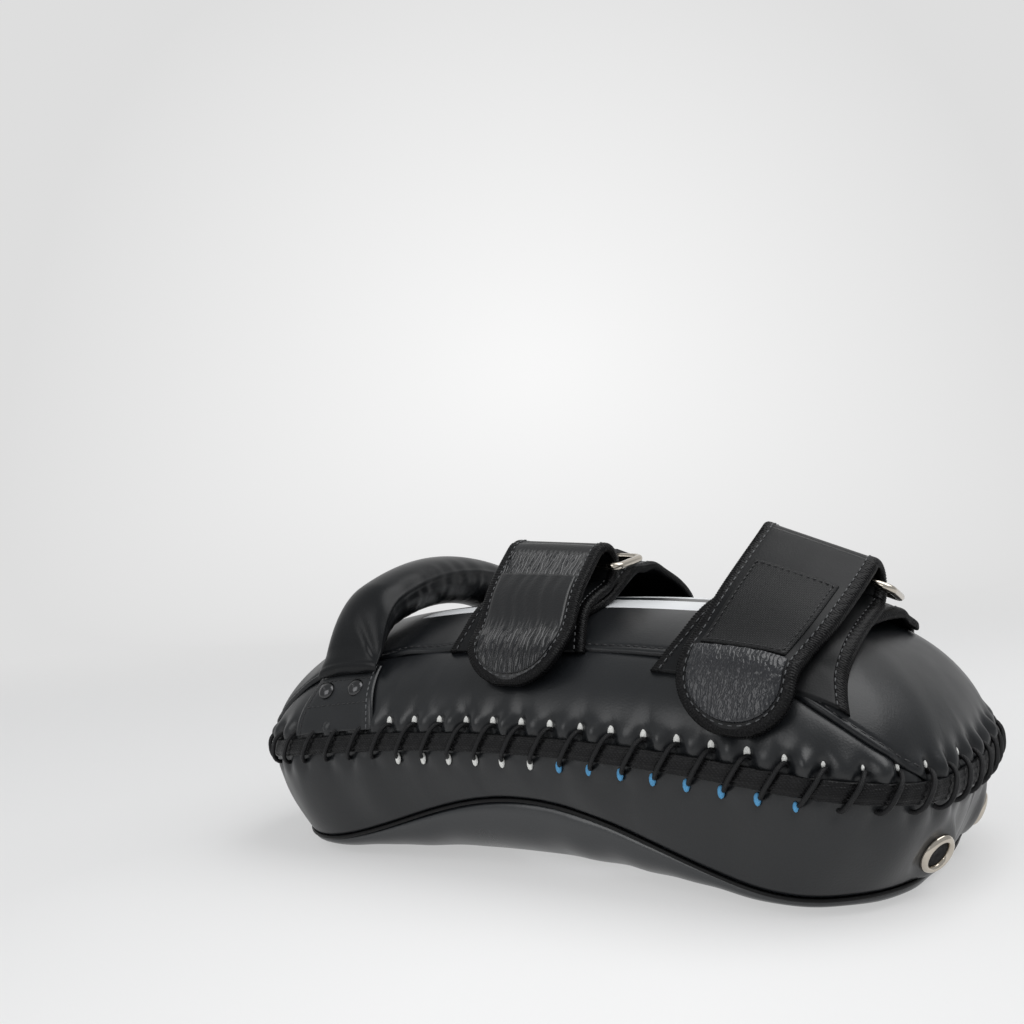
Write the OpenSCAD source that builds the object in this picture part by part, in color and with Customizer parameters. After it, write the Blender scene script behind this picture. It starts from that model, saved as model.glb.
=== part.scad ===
// Curved kick pad: a laced leather case over three foam layers, with a riveted hand grip
// and two hook-and-loop arm straps on its back. It lies on its strike face.
// X runs along the pad from the hand end to the elbow end, Y across it, Z up.
// The origin is on the floor under the middle of the pad.

/* [Case] */
// Length over the laced edge
pad_length = 390; // [340:5:430]
// Width over the laced edge
pad_width = 195; // [180:5:215]
// Corner radius of the outline, seen from above
corner_radius = 60; // [45:1:70]
// Outward bow of each end, seen from above
end_bow = 2.5; // [1:0.5:5]
// Height of the laced edge over the floor at mid length
edge_height = 70.5; // [64:0.5:80]
// How far the laced edge drops from mid length to the ends
edge_drop = 18.5; // [10:0.5:22]
// Height of the padded back over the laced edge
back_rise = 60; // [45:1:70]
// Length over which the back rounds down to each end
back_end_round = 75; // [55:1:85]
// Height of the strike seam over the floor at the middle of a long side
seam_mid_height = 41; // [30:0.5:46]
// Height of the strike seam over the floor at the ends
seam_end_height = 8; // [6:0.5:12]
// Distance from mid length at which the strike seam comes down level
seam_reach = 150; // [120:1:160]
// How far the strike seam lies inside the laced edge at the ends
seam_end_inset = 17; // [8:0.5:24]
// How far the strike seam lies inside the laced edge on the long sides
seam_side_inset = 7; // [3:0.5:12]
// Outward swell of the side wall
wall_swell = 3; // [0:0.5:5]
// Length over which the strike face rounds in from each end
strike_end_round = 60; // [45:1:70]
// Clearance under the middle of the strike face
strike_arch = 2.5; // [1:0.5:4]
// Distance from mid length of the two bands that the pad rests on
rest_reach = 150; // [140:1:160]
// Thickness of the case leather
leather = 2; // [1.5:0.1:2.5]
// Angle round the back at which the long back seams lie
back_seam_angle = 44; // [38:1:52]
// Distance from the end at which a back seam runs into the laced edge
back_seam_end = 5; // [2:0.5:20]

/* [Edge] */
// Stitches of the lacing round the whole edge
stitches = 64; // [48:1:72]
// Diameter of the lacing cord
cord_d = 2.4; // [1.8:0.1:3]
// Height of the lacing holes over and under the edge
hole_rise = 11; // [9:0.5:13]
// How far the edge tape stands out
tape_reach = 5.8; // [4:0.1:6.4]
// Width of the edge tape, from the back side to the wall side
tape_width = 9; // [6:0.5:12]
// Diameter of the bead in the strike seam
bead_d = 3.2; // [2:0.1:4]

/* [Vents] */
// Distance of each vent eyelet from the middle of its end
vent_y = 43; // [34:1:50]
// Height of the vent eyelets up the end wall, as a share of the wall
vent_rise = 0.28; // [0.2:0.01:0.5]
// Outer diameter of the eyelet flange
eyelet_d = 20; // [16:0.5:22]
// Bore of the eyelet
eyelet_bore = 11.5; // [8:0.5:13]

/* [Hand grip] */
// Place of the hand grip from mid length towards the hand end, as a share of the pad's length
grip_place = 0.2923; // [0.26:0.0001:0.32]
// Width of the grip where the hand holds it
grip_width = 38; // [30:1:44]
// Thickness of the grip where the hand holds it
grip_thickness = 21; // [16:0.5:28]
// Width of the grip where it flattens into its tabs
grip_foot_width = 42; // [36:1:50]
// Thickness of the flattened foot
grip_foot_thickness = 6; // [4:0.5:8]
// Room for fingers under the middle of the grip
finger_gap = 12; // [8:0.5:20]
// Angle round the back at which the grip leaves its tabs
grip_foot_angle = 36; // [32:1:42]
// Width of the riveted tabs at the laced edge
tab_width = 56; // [46:1:62]
// Thickness of the riveted tabs
tab_thickness = 2.4; // [1.6:0.1:4]
// Angle round the back at which the rivets sit
rivet_angle = 26; // [20:1:29]
// Distance between the two rivets of a tab
rivet_spacing = 21; // [16:0.5:28]
// Diameter of a rivet cap
rivet_d = 10; // [7:0.5:12]

/* [Straps] */
// Middle of the wrist strap's fold along the pad from mid length, as a share of the pad's length
wrist_place = -0.0262; // [-0.06:0.0001:0]
// Width of the wrist strap
wrist_width = 56; // [48:1:62]
// Slope of the wrist strap's fold along the pad
wrist_tilt = 4; // [0:0.5:5]
// Place of the wrist strap's fold across the pad, towards the far side
wrist_fold_y = -20; // [-26:1:-14]
// Middle of the forearm strap's fold along the pad from mid length, as a share of the pad's length
forearm_place = 0.3346; // [0.32:0.0001:0.345]
// Width of the forearm strap
forearm_width = 57; // [50:1:62]
// Slope of the forearm strap's fold along the pad
forearm_tilt = 21; // [16:0.5:23]
// Place of the forearm strap's fold across the pad, towards the far side
forearm_fold_y = -10; // [-16:1:-8]
// Angle round the back that the wrist tongue's tip reaches
wrist_tip_angle = 24; // [20:1:32]
// Angle round the back that the forearm tongue's tip reaches
forearm_tip_angle = 14; // [14:1:24]
// How far along the pad the wrist tongue's tip lies from its fold
wrist_tongue_slant = 8; // [0:1:10]
// How far along the pad the forearm tongue's tip lies from its fold
forearm_tongue_slant = -16; // [-18:1:-8]
// How far along the pad the forearm strap's sewn ends lie from its fold
forearm_strap_slant = -15; // [-18:1:-8]
// Height of the middle of the wrist strap's fold over the back
wrist_fold_height = 22.5; // [21.5:0.5:26]
// Height of the middle of the forearm strap's fold over the back
forearm_fold_height = 25; // [23:0.5:28]
// Inner radius of the fold
fold_radius = 8; // [7:0.5:9]
// How much wider the wrist strap is where it is sewn to the case
wrist_flare = 24; // [10:1:28]
// How much wider the forearm strap is where it is sewn to the case
forearm_flare = 40; // [20:1:42]
// How much wider a flap is where it is sewn to the case
flap_flare = 16; // [6:1:22]
// Thickness of the straps
strap_thickness = 4; // [3:0.1:4.4]
// Width of the tape that binds the strap edges
binding_width = 5; // [3:0.5:7]
// Thickness of that tape, round the strap edge
binding_thickness = 5; // [4.6:0.1:5.4]
// Thickness of a hook or loop patch
patch_thickness = 1.2; // [0.8:0.1:1.6]
// Thickness of the leather facing on a tongue
facing_thickness = 1; // [0.6:0.1:1.4]
// Width of the patch sewn on the forearm tongue
label_width = 42; // [30:1:44]
// Length of that patch along the tongue
label_length = 52; // [40:1:56]
// Diameter of the ring wire
ring_wire = 4; // [3:0.1:5]
// Distance between the two bars of a ring
ring_span = 27; // [24:0.5:30]
// Slope of the wrist ring towards its far bar
wrist_ring_slope = 6; // [0:0.5:8]
// Slope of the forearm ring towards its far bar
forearm_ring_slope = -16; // [-18:0.5:-10]

/* [Hidden] */
$fn = 48;

// Clearance between pieces that lie against each other
clear = 0.3;
// How far a cutter runs past the piece it cuts
over = 1;
half_l = pad_length / 2;
half_w = pad_width / 2;
grip_x = grip_place * pad_length;
wrist_x = wrist_place * pad_length;
forearm_x = forearm_place * pad_length;
back_seam_reach = half_l - back_seam_end;

// Stations round the outline: on half an end, on a corner and on half a long side
end_steps = 2;
corner_steps = 6;
side_steps = 6;
quarter = end_steps + corner_steps + side_steps;
stations = 4 * quarter;

function unit(v) = v / norm(v);
function flat_list(list) = [for (part = list) each part];
function mix(a, b, t) = a + (b - a) * t;
function ease(t) = let (u = max(0, min(1, t))) u * u * (3 - 2 * u);

// One quarter of a rounded rectangle with bowed ends, from the middle of its end to its side
function quarter_point(q, a, b, r) =
    let (bow = end_bow * b / half_w, share = q / end_steps)
    q <= end_steps ? [a - bow * share * share, (b - r) * share]
    : q <= end_steps + corner_steps
        ? let (turn = 90 * (q - end_steps) / corner_steps)
          [a - bow - r + r * cos(turn), b - r + r * sin(turn)]
    : [(a - bow - r) * (quarter - q) / side_steps, b];

// A point of the whole outline; station 0 is the middle of the elbow end, then far side first
function outline_point(q, a, b, r) =
    let (w = (q + stations) % stations)
    w <= quarter ? quarter_point(w, a, b, r)
    : w <= 2 * quarter
        ? let (p = quarter_point(2 * quarter - w, a, b, r)) [-p[0], p[1]]
    : w <= 3 * quarter
        ? let (p = quarter_point(w - 2 * quarter, a, b, r)) [-p[0], -p[1]]
    : let (p = quarter_point(stations - w, a, b, r)) [p[0], -p[1]];

// Height of the laced edge and of the strike seam at a place along the pad
function edge_z(x) = edge_height - edge_drop * pow(x / half_l, 2);
function seam_z(x) =
    seam_end_height
    + (seam_mid_height - seam_end_height) * pow(cos(90 * min(1, abs(x) / seam_reach)), 2);

// The padded back: angle 0 is the laced edge, 90 the ridge line; inset goes into the pad
function back_point(q, angle, inset = 0) =
    let (
        p = outline_point(
            q,
            half_l - back_end_round * (1 - cos(angle)) - inset * cos(angle),
            half_w * cos(angle) - inset * cos(angle),
            corner_radius * cos(angle)
        )
    )
    [p[0], p[1], edge_z(p[0]) + (back_rise - inset) * sin(angle)];

// The side wall: share 0 is the strike seam, 1 the laced edge
function wall_point(q, share, inset = 0) =
    let (
        swell = wall_swell * sin(180 * share),
        a = half_l - seam_end_inset * (1 - share) + swell - inset,
        b = half_w - seam_side_inset * (1 - share) + swell - inset,
        p = outline_point(q, a, b, corner_radius)
    )
    [p[0], p[1], mix(seam_z(p[0]), edge_z(p[0]), share)];

// How far the curve of the strike face is pressed flat where it rests
rest_press = 0.6;

// The strike face: angle 0 is the strike seam, 90 the middle line; it is flat where it rests
function strike_point(q, angle, inset = 0) =
    let (
        in = pow(cos(angle), 2 / 3),
        down = pow(sin(angle), 2 / 3),
        a = half_l - seam_end_inset - strike_end_round * (1 - in) - inset * in,
        b = (half_w - seam_side_inset) * in - inset * in,
        p = outline_point(q, a, b, corner_radius * in),
        middle = strike_arch - (strike_arch + rest_press) * pow(p[0] / rest_reach, 2)
    )
    [p[0], p[1], max(0, mix(seam_z(p[0]), middle, down)) + inset * down];

// Height of the back over the floor at a place seen from above
function back_z(x, y) =
    let (
        past = max(0, abs(x) - half_l + back_end_round) / back_end_round,
        fall = sqrt(max(0, 1 - past * past)),
        across = sqrt(max(0, 1 - pow(y / half_w, 2)))
    )
    edge_z(x) + back_rise * fall * across;

// A place over the back, across the pad at one x: [y, z]
function over_back(x, angle, off) =
    let (
        out = unit([-cos(angle) / half_w, sin(angle) / back_rise]),
        y = -half_w * cos(angle)
    )
    [y + off * out[0], back_z(x, y) + off * out[1]];

// Six times the volume that triangles enclose, which is positive when they run the wrong way round
function enclosed(points, faces) =
    [for (f = faces) cross(points[f[0]], points[f[1]]) * points[f[2]]] * [for (f = faces) 1];
function inside_out(points, faces) = enclosed(points, faces) > 0;

// A solid swept through rings of points, closed on itself or capped at both ends
module swept(rings, closed = false) {
    n = len(rings[0]);
    m = len(rings);
    sides = [
        for (i = [0 : m - (closed ? 1 : 2)])
            for (j = [0 : n - 1])
                let (
                    a = i * n + j,
                    b = i * n + (j + 1) % n,
                    c = ((i + 1) % m) * n + (j + 1) % n,
                    d = ((i + 1) % m) * n + j
                )
                each [[a, b, c], [a, c, d]]
    ];
    top = (m - 1) * n;
    caps = [
        for (k = [0 : n / 2 - 2])
            each [
                [n - 2 - k, k + 1, k], [n - 1 - k, n - 2 - k, k],
                [top + k, top + k + 1, top + n - 2 - k], [top + k, top + n - 2 - k, top + n - 1 - k]
            ]
    ];
    points = flat_list(rings);
    faces = closed ? sides : concat(sides, caps);
    polyhedron(
        points = points,
        faces = inside_out(points, faces) ? [for (f = faces) [f[2], f[1], f[0]]] : faces
    );
}

// The stations of a whole ring, and those of half a ring with its two ends on the middle line
ring_stations = [for (k = [0 : stations - 1]) k + 0.5];
half_stations = concat([0], [for (k = [0 : stations / 2 - 1]) k + 0.5], [stations / 2]);

// Angle of the back seam at a station: none round the ends
function seam_angle(q) =
    let (x = abs(back_point(q, 0)[0]))
    back_seam_angle * (1 - pow(min(1, x / back_seam_reach), 5));

strike_levels = [0, 8, 22, 40, 60, 74, 84];
back_levels = 5;
ridge_angle = 80;
wall_levels = [0, 0.2, 0.5, 0.8, 1];

module strike_face_panel() {
    outer = [for (a = strike_levels) [for (q = ring_stations) strike_point(q, a)]];
    inner = [for (a = strike_levels) [for (q = ring_stations) strike_point(q, a, leather)]];
    top = len(strike_levels) - 1;
    color("#1a1a1a")
        swept(concat([for (k = [top : -1 : 0]) outer[k]], inner));
}

// One side wall runs round half of the pad, between the joins in the middle of the ends
module side_wall(turn) {
    rings = [
        for (q = half_stations)
            concat(
                [for (s = wall_levels) wall_point(q + turn, s)],
                [for (k = [len(wall_levels) - 1 : -1 : 0]) wall_point(q + turn, wall_levels[k], leather)]
            )
    ];
    color("#1c1c1c")
        difference() {
            swept(rings);
            vent_places() translate([0, 0, -2 * leather - wall_swell]) cylinder(
                d = eyelet_bore + 2 * eyelet_wall + 2 * clear,
                h = 3 * leather + 2 * wall_swell
            );
        }
}

module back_centre_panel() {
    function levels(inset) = [
        for (k = [0 : back_levels])
            [for (q = ring_stations) back_point(q, mix(seam_angle(q), ridge_angle, k / back_levels), inset)]
    ];
    outer = levels(0);
    inner = levels(leather);
    color("#1b1b1b")
        swept(concat([for (k = [back_levels : -1 : 0]) outer[k]], inner));
}

// A lens-shaped panel between the laced edge and one long back seam
module back_side_panel(turn) {
    side_levels = 4;
    tip = 0.05;
    run = [for (q = ring_stations) if (q < stations / 2 && seam_angle(q) > 0) q + turn];
    function section(q) = concat(
        [for (k = [0 : side_levels]) back_point(q, seam_angle(q) * k / side_levels)],
        [for (k = [side_levels : -1 : 0]) back_point(q, seam_angle(q) * k / side_levels, leather)]
    );
    // A tip tapers to the station past it, along the centre panel's own edge
    function tip_section(q, next) =
        let (end_out = back_point(next, 0), end_in = back_point(next, 0, leather), full = section(q))
        [for (k = [0 : len(full) - 1]) mix(k <= side_levels ? end_out : end_in, full[k], tip)];
    first = run[0];
    last = run[len(run) - 1];
    color("#1d1d1d")
        swept(concat(
            [tip_section(first, first - 1)],
            [for (q = run) section(q)],
            [tip_section(last, last + 1)]
        ));
}

// The three foam layers fill the case with a little room all round
foam_room = 1;
pocket_room = 2;
foam_inset = leather + foam_room;

module strike_foam() {
    bottom = [for (k = [len(strike_levels) - 1 : -1 : 1])
        [for (q = ring_stations) strike_point(q, strike_levels[k], foam_inset)]];
    rim = [[for (q = ring_stations) wall_point(q, 0, foam_inset)]];
    color("#3a3d42") swept(concat(bottom, rim));
}

module core_foam() {
    shares = [0.02, 0.35, 0.65, 0.98];
    rings = [for (s = shares) [for (q = ring_stations) wall_point(q, s, foam_inset)]];
    color("#2f8fc4")
        difference() {
            swept(rings);
            vent_places() translate([0, 0, -vent_pocket]) cylinder(
                d = eyelet_d + 2 * pocket_room,
                h = vent_pocket + eyelet_d / 2
            );
        }
}

module back_foam() {
    angles = [2, 18, 36, 54, ridge_angle];
    rings = [for (a = angles) [for (q = ring_stations) back_point(q, a, foam_inset)]];
    color("#e8e6e0")
        difference() {
            swept(rings);
            rivet_places() translate([0, 0, -rivet_pocket]) cylinder(
                d = rivet_d + pocket_room,
                h = rivet_pocket
            );
        }
}

// Frame of a swept cord: a ring of points round a centre
function cord_ring(centre, along, out, r, sides) =
    let (t = unit(along), e = unit(out - t * (out * t)), f = cross(t, e))
    [for (k = [0 : sides - 1]) centre + r * (cos(360 * k / sides) * e + sin(360 * k / sides) * f)];

module strike_bead() {
    function centre(q) =
        let (p = wall_point(q, 0), o = outward(q))
        p + o * (bead_d / 2 + clear);
    rings = [
        for (q = ring_stations)
            cord_ring(centre(q), centre(q + 0.5) - centre(q - 0.5), outward(q), bead_d / 2, 6)
    ];
    color("#101010") swept(rings, closed = true);
}

// Level direction out of the outline at a station
function outward(q) =
    let (d = back_point(q + 0.25, 0) - back_point(q - 0.25, 0))
    unit([d[1], -d[0], 0]);

module edge_tape() {
    profile = [
        [clear, -tape_width / 2], [tape_reach * 0.75, -tape_width * 0.36], [tape_reach, 0],
        [tape_reach * 0.75, tape_width * 0.36], [clear, tape_width / 2], [clear, 0]
    ];
    rings = [
        for (q = ring_stations)
            [for (p = profile) back_point(q, 0) + p[0] * outward(q) + [0, 0, p[1]]]
    ];
    color("#141414") swept(rings, closed = true);
}

// The laced edge by its length: which station lies that far round it
straight_end = half_w - corner_radius;
straight_side = half_l - end_bow - corner_radius;
corner_run = PI * corner_radius / 2;
edge_quarter = straight_end + corner_run + straight_side;
edge_run = 4 * edge_quarter;

function quarter_station(s) =
    s <= straight_end ? end_steps * s / straight_end
    : s <= straight_end + corner_run ? end_steps + corner_steps * (s - straight_end) / corner_run
    : quarter - side_steps * (edge_quarter - s) / straight_side;

function edge_station(s) =
    let (k = floor(s / edge_quarter), part = s - k * edge_quarter)
    k % 2 == 0 ? k * quarter + quarter_station(part)
    : (k + 1) * quarter - quarter_station(edge_quarter - part);

// The lacing winds round the edge tape, through the holes over and under it
lace_turn_steps = 6;
lace_steps = lace_turn_steps * stitches;
lace_middle = 1;
lace_reach = tape_reach + cord_d / 2 + clear - lace_middle;

function lace_axis(i) =
    let (q = edge_station(edge_run * i / lace_steps))
    [back_point(q, 0), outward(q)];

function lace_out(i) =
    let (turn = 360 * i / lace_turn_steps, o = lace_axis(i)[1])
    o * cos(turn) * lace_reach + [0, 0, hole_rise * sin(turn)];

function lace_point(i) = let (a = lace_axis(i)) a[0] + a[1] * lace_middle + lace_out(i);

lace_points = [for (i = [0 : lace_steps - 1]) lace_point(i)];
lace_least_gap = min([
    for (i = [0 : lace_steps - 1])
        for (k = [lace_turn_steps / 2 : 3 * lace_turn_steps / 2])
            norm(lace_points[i] - lace_points[(i + k) % lace_steps]) - cord_d
]);
echo(lace_least_gap = lace_least_gap);

module edge_lacing() {
    rings = [
        for (i = [0 : lace_steps - 1])
            cord_ring(
                lace_points[i],
                lace_points[(i + 1) % lace_steps] - lace_points[(i + lace_steps - 1) % lace_steps],
                lace_out(i), cord_d / 2, 6
            )
    ];
    color("#0c0c0c") swept(rings, closed = true);
}

// Puts its children at a point, with their Z along a direction
module at(point, direction) {
    d = unit(direction);
    translate(point) rotate([0, acos(d[2]), atan2(d[1], d[0])]) children();
}

// Vent eyelets: two in each end wall, pressed through the leather
eyelet_wall = 1.2;
eyelet_flange = 1.6;
washer_thickness = 0.8;
washer_room = 1.7;
vent_pocket = 12;
eyelet_curl = 0.8;
eyelet_slope = 1.5;
eyelet_lip = 1;
washer_play = 0.2;

// The station of a vent: on the corner, where the wall is vent_y from the middle
vent_turn = asin(min(1, max(0, (vent_y - straight_end) / corner_radius)));
vent_station = end_steps + corner_steps * vent_turn / 90;

function wall_normal(q, share) =
    unit(cross(
        wall_point(q + 0.1, share) - wall_point(q - 0.1, share),
        wall_point(q, share + 0.02) - wall_point(q, share - 0.02)
    ));

module vent_places() {
    half_turn = 2 * quarter;
    for (q = [vent_station, half_turn - vent_station, half_turn + vent_station, stations - vent_station])
        at(wall_point(q, vent_rise), wall_normal(q, vent_rise)) children();
}

module vent_eyelets() {
    r = eyelet_bore / 2;
    barrel = leather + washer_room + washer_thickness + eyelet_curl;
    color("silver")
        vent_places() rotate_extrude() polygon([
            [r, -barrel], [r + eyelet_wall, -barrel],
            [r + eyelet_wall, clear], [eyelet_d / 2, clear], [eyelet_d / 2, eyelet_flange * 0.4 + clear],
            [eyelet_d / 2 - eyelet_slope, eyelet_flange + clear], [r + eyelet_lip, eyelet_flange + clear],
            [r, eyelet_flange * 0.5 + clear]
        ]);
}

module vent_washers() {
    color("silver")
        vent_places() translate([0, 0, -leather - washer_thickness - washer_room]) difference() {
            cylinder(d = eyelet_d, h = washer_thickness);
            translate([0, 0, -over]) cylinder(
                d = eyelet_bore + 2 * eyelet_wall + washer_play,
                h = washer_thickness + 2 * over
            );
        }
}

// A place over the back at a step along the pad from x, which follows the back's slope
function over_back_at(x, step, angle, off) =
    let (p = over_back(x, angle, off), y = -half_w * cos(angle))
    [x + step, p[0], p[1] + back_z(x + step, y) - back_z(x, y)];

// Hand grip: flat riveted tabs, flexible necks and a padded arch
tab_low_angle = 6;
tab_rest = 0.5;
tab_top = tab_rest + tab_thickness;
neck_rise = 8;
sleeve_wall = 1.8;
// Angle over which the grip fills out from its foot
grip_fill = 24;

module grip_tab(side) {
    tab_steps = 5;
    cross_steps = 4;
    rings = [
        for (i = [0 : tab_steps])
            let (
                angle = mix(tab_low_angle, grip_foot_angle - 1, i / tab_steps),
                half = mix(tab_width, grip_foot_width, i / tab_steps) / 2
            )
            concat(
                [for (k = [0 : cross_steps])
                    over_back_at(-grip_x, mix(-half, half, k / cross_steps), angle, tab_top)],
                [for (k = [cross_steps : -1 : 0])
                    over_back_at(-grip_x, mix(-half, half, k / cross_steps), angle, tab_rest)]
            )
    ];
    color("#202020") mirror([0, side, 0]) swept(rings);
}

// Size of the grip at an angle round the back: half width, half thickness, height over the back
function grip_share(angle) = ease((min(angle, 180 - angle) - grip_foot_angle) / grip_fill);
function grip_half_width(angle) = mix(grip_foot_width, grip_width, grip_share(angle)) / 2;
function grip_half_thickness(angle) = mix(grip_foot_thickness, grip_thickness, grip_share(angle)) / 2;
function grip_off(angle) =
    grip_half_thickness(angle) + mix(tab_rest, finger_gap, grip_share(angle));

grip_sides = 12;
function grip_ring(angle, inset = 0) =
    let (w = grip_half_width(angle) - inset, h = grip_half_thickness(angle) - inset, off = grip_off(angle))
    [
        for (k = [0 : grip_sides - 1])
            let (turn = 360 * (k + 0.5) / grip_sides)
            over_back_at(-grip_x, w * cos(turn), angle, off + h * sin(turn))
    ];

sleeve_angle = grip_foot_angle + neck_rise;

module grip_sleeve() {
    steps = 22;
    function rings(inset) = [
        for (i = [0 : steps]) grip_ring(mix(sleeve_angle, 180 - sleeve_angle, i / steps), inset)
    ];
    outer = rings(0);
    inner = rings(sleeve_wall);
    color("#191919") difference() {
        swept(outer);
        swept([for (i = [1 : steps - 1]) inner[i]]);
    }
}

module grip_core() {
    steps = 16;
    first = sleeve_angle + 16;
    color("#d8d5cc")
        swept([
            for (i = [0 : steps])
                grip_ring(mix(first, 180 - first, i / steps), sleeve_wall + clear)
        ]);
}

// The flexible stretch of the sleeve between a tab and the padded arch
module grip_necks() {
    steps = 3;
    rings = [
        for (i = [0 : steps]) grip_ring(mix(grip_foot_angle, sleeve_angle - clear, i / steps))
    ];
    color("#1e1e1e") {
        swept(rings);
        mirror([0, 1, 0]) swept(rings);
    }
}

rivet_pocket = 8;
rivet_post = 3;
rivet_reach = leather + 4;
rivet_dome = 2.6;
burr_play = 0.3;
burr_thickness = 0.8;

module rivet_places() {
    out = unit([0, -cos(rivet_angle) / half_w, sin(rivet_angle) / back_rise]);
    for (side = [0, 1])
        mirror([0, side, 0])
            for (step = [-0.5, 0.5])
                at(over_back_at(-grip_x, step * rivet_spacing, rivet_angle, tab_rest), out) children();
}

module grip_rivets() {
    cap = tab_thickness;
    color("#3a3a3c")
        rivet_places() rotate_extrude() polygon([
            [0, -rivet_reach], [rivet_post / 2, -rivet_reach], [rivet_post / 2, cap + clear],
            [rivet_d * 0.5, cap + clear], [rivet_d * 0.5, cap + rivet_dome * 0.3],
            [rivet_d * 0.42, cap + rivet_dome * 0.6], [rivet_d * 0.25, cap + rivet_dome * 0.88],
            [0, cap + rivet_dome]
        ]);
}

module rivet_burrs() {
    color("#8a8a8c")
        rivet_places() translate([0, 0, -leather - burr_thickness - 3 * clear - tab_rest]) difference() {
            cylinder(d = rivet_d - 1, h = burr_thickness);
            translate([0, 0, -over]) cylinder(d = rivet_post + burr_play, h = burr_thickness + 2 * over);
        }
}

// Straps: index 0 is the wrist strap, 1 the forearm strap
strap_x = [wrist_x, forearm_x];
strap_width = [wrist_width, forearm_width];
strap_tilt = [wrist_tilt, forearm_tilt];
fold_y = [wrist_fold_y, forearm_fold_y];
fold_height = [wrist_fold_height, forearm_fold_height];
strap_flare = [wrist_flare, forearm_flare];
strap_slant = [0, forearm_strap_slant];
tongue_slant = [wrist_tongue_slant, forearm_tongue_slant];
tip_angle = [wrist_tip_angle, forearm_tip_angle];
ring_slope = [wrist_ring_slope, forearm_ring_slope];
fold_lean = 25;
fold_steps = 10;
fold_middle = fold_radius + strap_thickness / 2;

function fold_centre(s) = [fold_y[s], back_z(strap_x[s], fold_y[s]) + fold_height[s]];
function fold_place(s, turn) =
    let (c = fold_centre(s))
    [c[0] + fold_middle * cos(turn), c[1] + fold_middle * sin(turn), 1, 0];
// A place on a path: its share of the fold's slope, and its shift along the pad by the strap's slant
function lifted(point, lift, slant = 0) = [point[0], point[1], lift, slant * (1 - lift)];

// A smooth curve through points, with its length along it in front: [length, y, z, lift, shift]
function curve_at(p0, p1, p2, p3, t) =
    0.5 * (2 * p1 + (p2 - p0) * t + (2 * p0 - 5 * p1 + 4 * p2 - p3) * t * t
        + (3 * p1 - p0 - 3 * p2 + p3) * t * t * t);

function curve(points, steps) =
    let (last = len(points) - 1)
    concat(
        [
            for (i = [0 : last - 1])
                for (k = [0 : steps - 1])
                    curve_at(
                        points[max(0, i - 1)], points[i], points[i + 1], points[min(last, i + 2)], k / steps
                    )
        ],
        [points[last]]
    );

function measured(points) = [
    for (
        i = 0, run = 0;
        i < len(points);
        i = i + 1,
        run = i < len(points)
            ? run + norm([points[i][0] - points[i - 1][0], points[i][1] - points[i - 1][1]])
            : run
    )
        [run, points[i][0], points[i][1], points[i][2], points[i][3]]
];

function column(path, k) = [for (p = path) [p[0], p[k]]];
function run_of(path) = path[len(path) - 1][0];

// A place on a strap: step along the pad from its middle, run along its path, height over it
function strap_place(s, path, step, run, off) =
    let (
        ys = column(path, 1),
        zs = column(path, 2),
        y = lookup(run, ys),
        z = lookup(run, zs),
        lift = lookup(run, column(path, 3)),
        t = unit([lookup(run + 1, ys) - lookup(run - 1, ys), lookup(run + 1, zs) - lookup(run - 1, zs)]),
        x = strap_x[s] + lookup(run, column(path, 4)) + step * cos(strap_tilt[s]),
        slope = mix(back_z(x, y) - back_z(strap_x[s], y), -step * sin(strap_tilt[s]), lift)
    )
    [x, y - off * t[1], z + off * t[0] + slope];

// Gap between a strap's body and the tape sewn round its edge
sewn_gap = 0.5;

// Heights of the strap paths over the back, where they lie on it or on each other
strap_rest = strap_thickness / 2 + 1;
patch_room = 2 * patch_thickness + 7 * clear;
tongue_off = strap_rest + strap_thickness + patch_room;
// Angles past the back seam at which a strap is sewn, leaves the back and has risen, and at which
// its tongue lies on it
sewn_angle = [-1.5, -8];
leave_angle = 4;
rise_angle = 16;
lay_angle = 3;
press_angle = -8;
// How far a strap and its tongue have risen there, and how far the tongue is pressed down below
leave_rise = 0.4;
strap_rise = 6.8;
tongue_rise = 7.8;
tip_rise = 2.2;
press_drop = 1;
// How much each place has turned from the slope of the back to the slope of the fold
leave_lift = 0.1;
strap_lift = 0.5;
tongue_lift = 0.6;
lay_lift = 0.15;
start_lift = 0.15;
pass_lift = 0.75;
flap_lift = 0.3;
// Straight lead of a strap and of its tongue into the fold
strap_lead = 7;
tongue_lead = 6;
// The flap: where it starts under the strap, how it passes under the fold, how it comes down
flap_angle = 19.5;
flap_rise = 1.2;
flap_pass = [3.6, 2.7];
flap_end_angle = 135;
flap_far_angle = 126;
flap_far_rise = 7;

function led(s, turn, lead) = fold_place(s, turn) - lead * [cos(fold_lean), sin(fold_lean), 0, 0];

// Paths across the pad, each from the near side to the far side

function strap_stop(s, past, off, lift) =
    lifted(over_back(strap_x[s], back_seam_angle + past, off), lift, strap_slant[s]);

function tongue_stop(s, angle, off, lift) =
    lifted(over_back(strap_x[s], angle, off), lift, tongue_slant[s]);

function strap_path(s) =
    measured(curve([
        strap_stop(s, sewn_angle[s], strap_rest, 0),
        strap_stop(s, leave_angle, strap_rest + leave_rise, leave_lift),
        strap_stop(s, rise_angle, strap_rest + strap_rise, strap_lift),
        led(s, fold_lean - 90, strap_lead),
        fold_place(s, fold_lean - 90)
    ], 4));

function tongue_path(s) =
    measured(curve([
        tongue_stop(s, tip_angle[s], strap_rest + tip_rise, 0),
        tongue_stop(s, back_seam_angle + press_angle, tongue_off - press_drop, 0),
        tongue_stop(s, back_seam_angle + lay_angle, tongue_off, lay_lift),
        tongue_stop(s, back_seam_angle + rise_angle, tongue_off + tongue_rise, tongue_lift),
        led(s, fold_lean + 90, tongue_lead),
        fold_place(s, fold_lean + 90)
    ], 5));

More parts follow.
